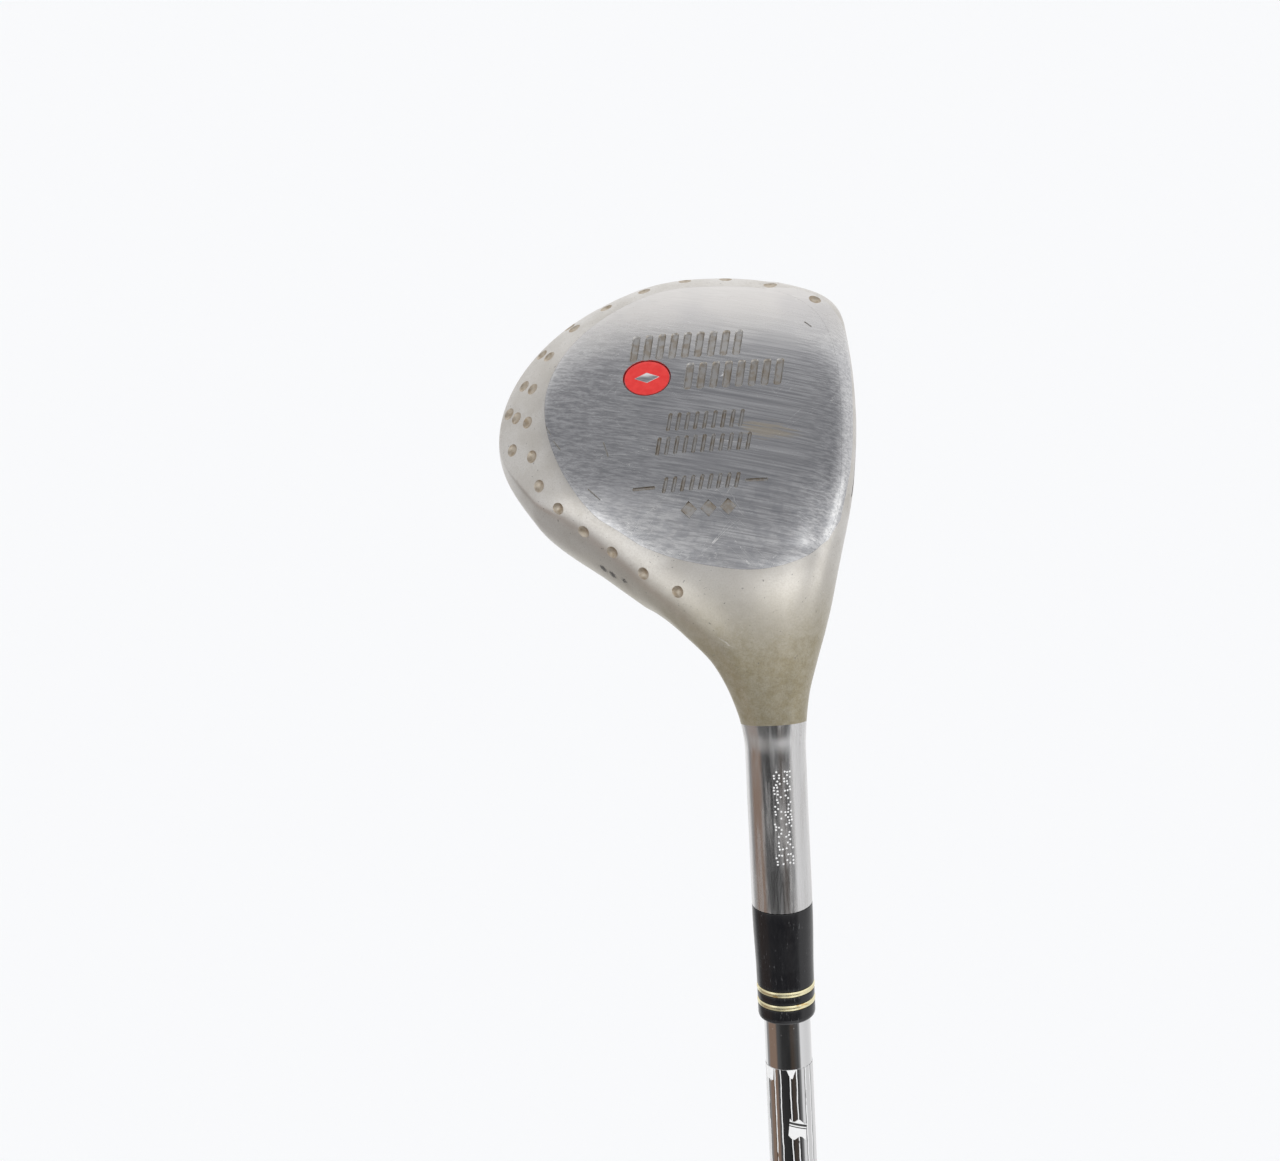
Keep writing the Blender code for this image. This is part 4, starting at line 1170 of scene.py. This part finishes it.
def make_badge(surface):
    """Red enamel in the plate's oval pocket, with a plain steel lozenge let into it."""
    frame_here = axes_at(*surface.below(*BADGE_CENTRE))
    half_x, half_y = (half - BADGE_GAP for half in BADGE_HALF)
    oval = [(x * half_x, y * half_y) for x, y in circle(OVAL_POINTS)]
    enamel = settle(join("enamel", [layered(oval, frame_here, ENAMEL_LAYERS)], ENAMEL), "badge_enamel")
    finish_piece(enamel, "red_enamel", "sole_badge")
    inlay = layered(lozenge(*INLAY_SIZE), frame_here, INLAY_LAYERS)
    finish_piece(settle(join("inlay", [inlay], STEEL), "badge_inlay"), "brushed_steel")


# ---------------------------------------------------------------- shaft pieces
FERRULE_BORE = 4.37
FERRULE_SOFT = 0.12          # its corners' radius
FERRULE_WAIST = ((3.0, 0.0), (6.0, 0.07), (9.0, 0.17), (12.0, 0.26), (15.0, 0.30))   # depth, off the radius
FERRULE_NOSE = ((0.0, 0.9), (0.10, 0.42), (0.32, 0.10), (0.6, 0.0))   # off the radius, above the low end
RING_STARTS = (16.0, 18.7)
RING_WIDTH = 1.25
RING_GROOVE = 0.7
RING_GAP = 0.03
RING_PROUD = (0.03, 0.09)    # over the lip, at the band's edges and in its middle
RING_ROUND = 0.08
RING_DEPTH = 0.6
RING_SOFT = 0.15
TURNED_STEPS = 160
SHAFT_TIP = 4.25
SHAFT_BUTT = 7.62
SHAFT_WALL = 0.55
SHAFT_SOFT = 0.5
SHAFT_STEPS = 96
TIP_CHAMFER = (0.3, 0.5)
STEP_COUNT = 17
STEP_LENGTH = 38.0
STEP_SLOPE = 1.2             # length of each step's cone
FIRST_STEP = 230.0
FILM = (0.10, 0.02)          # its outside and inside over the shaft's radius
FLAKE_SIZE = (3.0, 3.5)      # round the shaft and along it
FLAKE_GRID = (13, 9)
FLAKE_THICK = 0.06
FLAKE_TURN = math.radians(13.0)
FLAKE_DOWN = 12.2
FLAKE_LEAN = 0.12
FLAKE_OFF = 0.12             # off the shaft in its middle
FLAKE_CURL = 0.5
FLAKE_TEARS = ((0.10, 9.0, 1.0), (0.14, 7.0, 0.0))   # upper and lower edge: size, waves and start
FLAKE_EDGE = 0.4             # the torn rows lie beyond this share of its height
CURL_START = 0.2


def make_ferrule():
    """The waisted plastic collar, and the two bands in its grooves."""
    low, high = FERRULE_LOW.z / MM, FERRULE_HIGH.z / MM
    outer = FERRULE_HIGH.x / MM
    lip = outer - FERRULE_WAIST[-1][1]
    floor = lip - RING_GROOVE
    profile = [(outer, high)] + [(outer - less, high - depth) for depth, less in FERRULE_WAIST]
    for start in RING_STARTS:
        profile += [(lip, high - start), (floor, high - start),
                    (floor, high - start - RING_WIDTH), (lip, high - start - RING_WIDTH)]
    profile += [(lip - less, low + height) for less, height in FERRULE_NOSE]
    profile += [(FERRULE_BORE, low), (FERRULE_BORE, high)]
    ferrule = lathe("ferrule_gloss", softened(profile, FERRULE_SOFT), TURNED_STEPS, material=BLACK)
    finish_piece(ferrule, "black_plastic", "ferrule")
    for name, node, start in zip(("band_upper", "band_lower"), ("trim_ring_upper", "trim_ring_lower"),
                                 RING_STARTS):
        top = high - start - RING_GAP
        width = RING_WIDTH - 2 * RING_GAP
        edge, crown = (lip + over for over in RING_PROUD)
        ring = [(edge, top - RING_ROUND), (crown, top - width / 2), (edge, top - width + RING_ROUND),
                (lip - RING_DEPTH, top - width), (lip - RING_DEPTH, top)]
        piece = lathe(name, softened(ring, RING_SOFT), TURNED_STEPS, material=GOLD)
        finish_piece(piece, "gold", node)


def make_shaft():
    """The stepped tube."""
    tip, start = SHAFT_HIGH.z / MM, SHAFT_LOW.z / MM
    rise = (SHAFT_BUTT - SHAFT_TIP) / STEP_COUNT
    first = tip - FIRST_STEP
    profile = [(SHAFT_TIP - TIP_CHAMFER[0], tip), (SHAFT_TIP, tip - TIP_CHAMFER[1])]
    for k in range(STEP_COUNT):
        height = first - k * STEP_LENGTH
        profile += [(SHAFT_TIP + k * rise, height), (SHAFT_TIP + (k + 1) * rise, height - STEP_SLOPE)]
    profile += [(SHAFT_BUTT, start), (SHAFT_BUTT - SHAFT_WALL, start),
                (SHAFT_BUTT - SHAFT_WALL, first - STEP_COUNT * STEP_LENGTH),
                (SHAFT_TIP - SHAFT_WALL, first), (SHAFT_TIP - SHAFT_WALL, tip)]
    shaft = lathe("shaft_chrome", softened(profile, SHAFT_SOFT, 3), SHAFT_STEPS, material=CHROME)
    finish_piece(shaft, "chrome", "shaft", angle=50.0)


def make_film():
    """The printed film round the shaft, below the ferrule."""
    top, low = BAND_HIGH.z / MM, BAND_LOW.z / MM
    outside, inside = (SHAFT_TIP + over for over in FILM)
    profile = [(outside, top), (outside, low), (inside, low), (inside, top)]
    band = lathe("striped_film", profile, material=print_film(top))
    finish_piece(band, "print_film", "shaft_band")


def make_flake():
    """A torn, curled bit of the film, standing off the shaft."""
    centre = BAND_HIGH.z / MM - FLAKE_DOWN
    columns, rows = FLAKE_GRID
    points = []
    for lift in (0.0, FLAKE_THICK):
        for i in range(columns):
            for j in range(rows):
                x = i / (columns - 1) - 0.5
                y = j / (rows - 1) - 0.5
                size, waves, begin = FLAKE_TEARS[int(y < 0.0)]
                tear = size * math.sin(waves * x + begin) * (abs(y) > FLAKE_EDGE)
                side = FLAKE_SIZE[0] * (x + FLAKE_LEAN * y)
                up = FLAKE_SIZE[1] * (y + tear) - FLAKE_SLOPE * side
                curl = FLAKE_CURL * (max(x + CURL_START, 0.0) ** 2 + max(-y - CURL_START, 0.0) ** 2)
                angle = FLAKE_TURN + side / SHAFT_TIP
                radius = SHAFT_TIP + FLAKE_OFF + curl + lift
                points.append((radius * math.sin(angle), -radius * math.cos(angle), centre + up))
    sheet = columns * rows
    faces = []
    for i in range(columns - 1):
        for j in range(rows - 1):
            a = i * rows + j
            quad = (a, a + rows, a + rows + 1, a + 1)
            faces += [quad, tuple(sheet + k for k in reversed(quad))]
    rim = [i * rows for i in range(columns)] + [(columns - 1) * rows + j for j in range(1, rows)]
    rim += [i * rows + rows - 1 for i in range(columns - 2, -1, -1)] + list(range(rows - 2, 0, -1))
    faces += [(a, b, sheet + b, sheet + a) for a, b in zip(rim, rim[1:] + rim[:1])]
    flake = put("film_flake", mesh_of("film_flake", points, faces), parts)
    flake.data.materials.append(flake_film(centre))
    finish_piece(flake, "print_film")


# ---------------------------------------------------------------- grip pieces
GRIP_MOUTH = 9.4
GRIP_BUTT = 13.4
GRIP_BORE = 8.11
GRIP_STEPS = 144
GRIP_ROWS = 420
GRIP_SWELL = 0.45            # how far the taper bows out
GRIP_ENDS = (9.0, 8.0)       # the patterned sleeve stops this far from the butt and the mouth
GRIP_PLAIN = (24.0, 22.0)    # without pits for this far from the butt and the mouth
PIT_PITCH = 5.2
PITS_ROUND = 18
PIT_DEPTH = 0.45
PIT_EDGE = (1.25, 0.75)      # the pit's slope, by distance from its middle
PIT_RADIUS = 10.5            # the sleeve's radius at which the pits are round
PIT_LENGTH = 0.75
RING_PITCH = 83.2            # from one plain band to the next
RING_PLAIN = 12.5
RING_LINE = (6.2, 0.5, 0.35)     # each band's groove: place, half width and depth
MOUTH_PROFILE = (            # off the mouth's radius, below its end
    (0.6, 0.0), (0.15, 0.3), (0.0, 0.9), (0.0, 3.9), (0.15, 4.3), (0.5, 4.6), (0.5, 6.0),
)
MOUTH_JOIN = (0.1, 6.6)
BUTT_PROFILE = (             # over the butt's radius, and height
    (0.42, 4.0), (0.56, 2.6), (0.6, 1.2), (0.5, 0.3), (0.3, 0.0),
)
SPIGOT_GAP = 0.3
SPIGOT_CHAMFER = 0.4
CAP_EDGE = ((0.3, 3.0), (0.0, 2.5), (0.0, 1.2), (0.4, 0.4), (1.4, 0.0))      # off the rim, height
CAP_FACE = (                 # radius and height of the cap's two grooves
    (9.2, 0.0), (9.0, 0.35), (8.4, 0.35), (8.2, 0.0), (4.2, 0.0), (4.0, 0.3), (3.4, 0.3), (3.2, 0.0),
)
VENT_RADIUS = 1.2
CAP_SOFT = 0.2


def grip_depth(turn, level, low, high):
    """How deep the pattern lies at each turn and height: staggered pits, and a groove in each plain band."""
    row_of = np.round(level / PIT_PITCH)
    off_row = level - row_of * PIT_PITCH
    phase = turn * PITS_ROUND / (2 * np.pi) + 0.5 * (row_of % 2)
    off_slot = (phase - np.round(phase)) * 2 * np.pi * PIT_RADIUS / PITS_ROUND
    pit = ease(*PIT_EDGE, np.sqrt((off_row * PIT_LENGTH) ** 2 + off_slot ** 2))
    place, width, depth = RING_LINE
    groove = np.exp(-((level % RING_PITCH - place) / width) ** 2)
    middle = (level <= high - GRIP_PLAIN[1]) & (level >= low + GRIP_PLAIN[0])
    pitted = middle & (level % RING_PITCH >= RING_PLAIN)
    return PIT_DEPTH * pit * pitted + depth * groove * middle


def make_grip():
    """Rubber sleeve with rows of small pits between plain bands."""
    low, high = GRIP_LOW.z / MM, GRIP_HIGH.z / MM
    heights = np.linspace(high - GRIP_ENDS[1], low + GRIP_ENDS[0], GRIP_ROWS)
    x = (heights - low) / (high - low)
    radius = GRIP_BUTT + (GRIP_MOUTH - GRIP_BUTT) * x * (1.0 + GRIP_SWELL - GRIP_SWELL * x)
    turns = 2 * np.pi * np.arange(GRIP_STEPS) / GRIP_STEPS
    turn, level = np.meshgrid(turns, heights)
    shell = radius[:, None] - grip_depth(turn, level, low, high)
    head = [(GRIP_MOUTH - off, high - depth) for off, depth in MOUTH_PROFILE]
    head.append((float(radius[0]) - MOUTH_JOIN[0], high - MOUTH_JOIN[1]))
    tail = [(GRIP_BUTT + over, low + height) for over, height in BUTT_PROFILE]
    tail += [(GRIP_BORE, low), (GRIP_BORE, high)]
    grid = np.stack((shell * np.cos(turn), shell * np.sin(turn), level), 2).reshape(-1, 3)
    points = np.concatenate((turned_points(head, GRIP_STEPS), grid, turned_points(tail, GRIP_STEPS)))
    faces = ring_faces(len(points) // GRIP_STEPS, GRIP_STEPS)
    grip = put("grip_rubber", mesh_of("grip_rubber", points, faces), parts)
    grip.data.materials.append(RUBBER)
    finish_piece(grip, "rubber", "grip", angle=60.0)


def make_cap():
    """The butt cap: a spigot in the shaft, and a rim that closes the grip."""
    top, rim = CAP_HIGH.z / MM, CAP_HIGH.x / MM
    spigot = SHAFT_BUTT - SHAFT_WALL - SPIGOT_GAP
    profile = [(spigot - SPIGOT_CHAMFER, top), (spigot, top - SPIGOT_CHAMFER), (spigot, CAP_EDGE[0][1])]
    profile += [(rim - off, height) for off, height in CAP_EDGE]
    profile += [*CAP_FACE, (VENT_RADIUS, 0.0), (VENT_RADIUS, top)]
    cap = lathe("butt_cap", softened(profile, CAP_SOFT, 3), material=CAP_PLASTIC)
    finish_piece(cap, "cap_plastic", "grip_cap")


# ---------------------------------------------------------------- studio
CAMERA_TURN = math.radians(2.66)
CAMERA_ELEVATION = math.radians(25.0)
CAMERA_DISTANCE = 4.0
VIEW_WIDTH = 0.2327
VIEW_CENTRE = (-0.02327, 0.0, DATUM_HEIGHT * MM - 0.0022)
SENSOR = 36.0
FLOOR_RADIUS = 40.0
FLOOR_COLOUR = (0.960, 0.968, 0.981, 1.0)
BROWN = (0.27, 0.19, 0.145)
LOW_RING = (                 # degrees from the camera, and brightness or colour, below the horizon
    (-180, 0.95), (-136, 0.92), (-121, 0.30), (-100, BROWN), (-68, BROWN), (-54, 0.09), (-30, 0.035),
    (2, 0.03), (16, (0.07, 0.055, 0.045)), (44, 0.085), (54, 0.22), (63, 0.85), (100, 0.78), (180, 0.95),
)
HIGH_RING = (                # and above it
    (-180, 1.12), (-150, 0.92), (-115, 0.72), (-85, 0.72), (-60, 0.85), (-30, 0.62), (0, 0.80), (28, 1.10),
    (60, 1.05), (95, 0.78), (125, 0.88), (180, 1.12),
)
SOFTBOXES = (                # turn from the camera, rise, half turn, half rise in degrees, and strength
    (20.0, 40.0, 40.0, 24.0, 1.9), (-52.0, 8.0, 20.0, 26.0, 1.6), (78.0, 15.0, 32.0, 22.0, 1.4),
)
SOFTBOX_COLOUR = (1.0, 1.0, 0.985)
DARK_BAND = ((-0.60, -0.48), (-0.22, -0.37))     # fades by the direction's z, where the low ring shows
TABLE_Z = ((-0.46, -0.62), (-0.98, -0.84))
TABLE_X = (-0.22, -0.40)
TABLE_AMOUNT = 0.72
TABLE_COLOUR = (0.24, 0.22, 0.20)
GAP_Y = ((-0.65, -0.24), (0.32, 0.02))
GAP_X = (1.0, 0.5)
GAP_Z = (0.2, 0.5)
GAP_COLOUR = (0.31, 0.313, 0.325)
DIRECT_LIGHT = (0.99, 0.99, 0.993)


def make_camera():
    """The camera in front of the sole, a little above it, rolled as the club hangs."""
    data = bpy.data.cameras.new("camera")
    data.sensor_width = SENSOR
    data.lens = SENSOR * CAMERA_DISTANCE / VIEW_WIDTH
    data.clip_start = 0.1
    data.clip_end = 100.0
    camera = bpy.data.objects.new("camera", data)
    bpy.context.scene.collection.objects.link(camera)
    back = Vector((0.0, -math.cos(CAMERA_ELEVATION), math.sin(CAMERA_ELEVATION)))
    up = Vector((0.0, math.sin(CAMERA_ELEVATION), math.cos(CAMERA_ELEVATION)))
    right = Vector((1.0, 0.0, 0.0))
    c, s = math.cos(CAMERA_TURN), math.sin(CAMERA_TURN)
    axes = Matrix((right * c - up * s, right * s + up * c, back)).transposed().to_4x4()
    camera.matrix_world = Matrix.Translation(Vector(VIEW_CENTRE) + back * CAMERA_DISTANCE) @ axes
    bpy.context.scene.camera = camera


def make_floor():
    """A wide pale sheet under the club."""
    bm = bmesh.new()
    bmesh.ops.create_circle(bm, cap_ends=True, segments=96, radius=FLOOR_RADIUS)
    mesh = bpy.data.meshes.new("floor")
    bm.to_mesh(mesh)
    bm.free()
    floor = put("floor", mesh, bpy.context.scene.collection)
    look = Look("floor_paper", 0.0, 0.9)
    look.colour(FLOOR_COLOUR)
    floor.data.materials.append(look.material)
    floor.visible_glossy = False


def ring_light(nodes, share, stops):
    """Colours round the horizon, where share runs from 0 to 1 over the full turn."""
    ramp = nodes.node("ShaderNodeValToRGB", Fac=share)
    ramp.color_ramp.interpolation = "EASE"
    elements = ramp.color_ramp.elements
    while len(elements) < len(stops):
        elements.new(0.5)
    for element, (degrees, colour) in zip(elements, stops):
        element.position = degrees / 360.0 + 0.5
        element.color = (*colour, 1.0) if isinstance(colour, tuple) else (colour, colour, colour, 1.0)
    return ramp.outputs[0]


def make_world():
    """Soft surroundings: pale sheets, softboxes, a dark front, a shaded gap overhead and a table."""
    world = bpy.data.worlds.new("studio")
    world.use_nodes = True
    bpy.context.scene.world = world
    nodes = Nodes(world.node_tree)
    way = nodes.node("ShaderNodeTexCoord").outputs["Generated"]
    x, y, z = nodes.node("ShaderNodeSeparateXYZ", Vector=way).outputs
    around = nodes.math("ARCTAN2", x, nodes.times(y, -1.0))
    share = nodes.plus(nodes.math("DIVIDE", around, 2 * math.pi), 0.5)
    low = ring_light(nodes, share, LOW_RING)
    light = nodes.mix(nodes.between(z, *DARK_BAND), ring_light(nodes, share, HIGH_RING), low)
    table = nodes.times(nodes.between(z, *TABLE_Z), nodes.spread(x, *TABLE_X))
    light = nodes.tint(light, TABLE_COLOUR, table, TABLE_AMOUNT)
    gap = nodes.times(nodes.between(y, *GAP_Y), nodes.spread(nodes.math("ABSOLUTE", x), *GAP_X))
    gap = nodes.times(gap, nodes.spread(z, *GAP_Z))
    light = nodes.mix(gap, light, GAP_COLOUR)
    degrees = nodes.times(around, 180.0 / math.pi)
    height = nodes.times(nodes.math("ARCSINE", z), 180.0 / math.pi)
    for turn, rise, half_turn, half_rise, strength in SOFTBOXES:
        amount = nodes.times(nodes.ridge(degrees, turn, half_turn), nodes.ridge(height, rise, half_rise))
        colour = [strength * channel for channel in SOFTBOX_COLOUR]
        light = nodes.mix(nodes.spread(amount, 0.05, 0.6), light, colour)
    glossy = nodes.node("ShaderNodeLightPath").outputs["Is Glossy Ray"]
    nodes.give(nodes.tree.nodes["Background"].inputs["Color"], nodes.mix(glossy, DIRECT_LIGHT, light))


# ---------------------------------------------------------------- the club
outer_surface = make_body()
make_sole(outer_surface)
make_badge(outer_surface)
make_ferrule()
make_shaft()
make_film()
make_flake()
make_grip()
make_cap()
for node_name, material in INSIDE.items():
    frame["nodes"][node_name].data.materials.clear()
    frame["nodes"][node_name].data.materials.append(material)

for tool in list(workshop.objects):
    bpy.data.objects.remove(tool)
bpy.data.collections.remove(workshop)

make_camera()
make_floor()
make_world()
bpy.context.scene.view_settings.view_transform = "Standard"
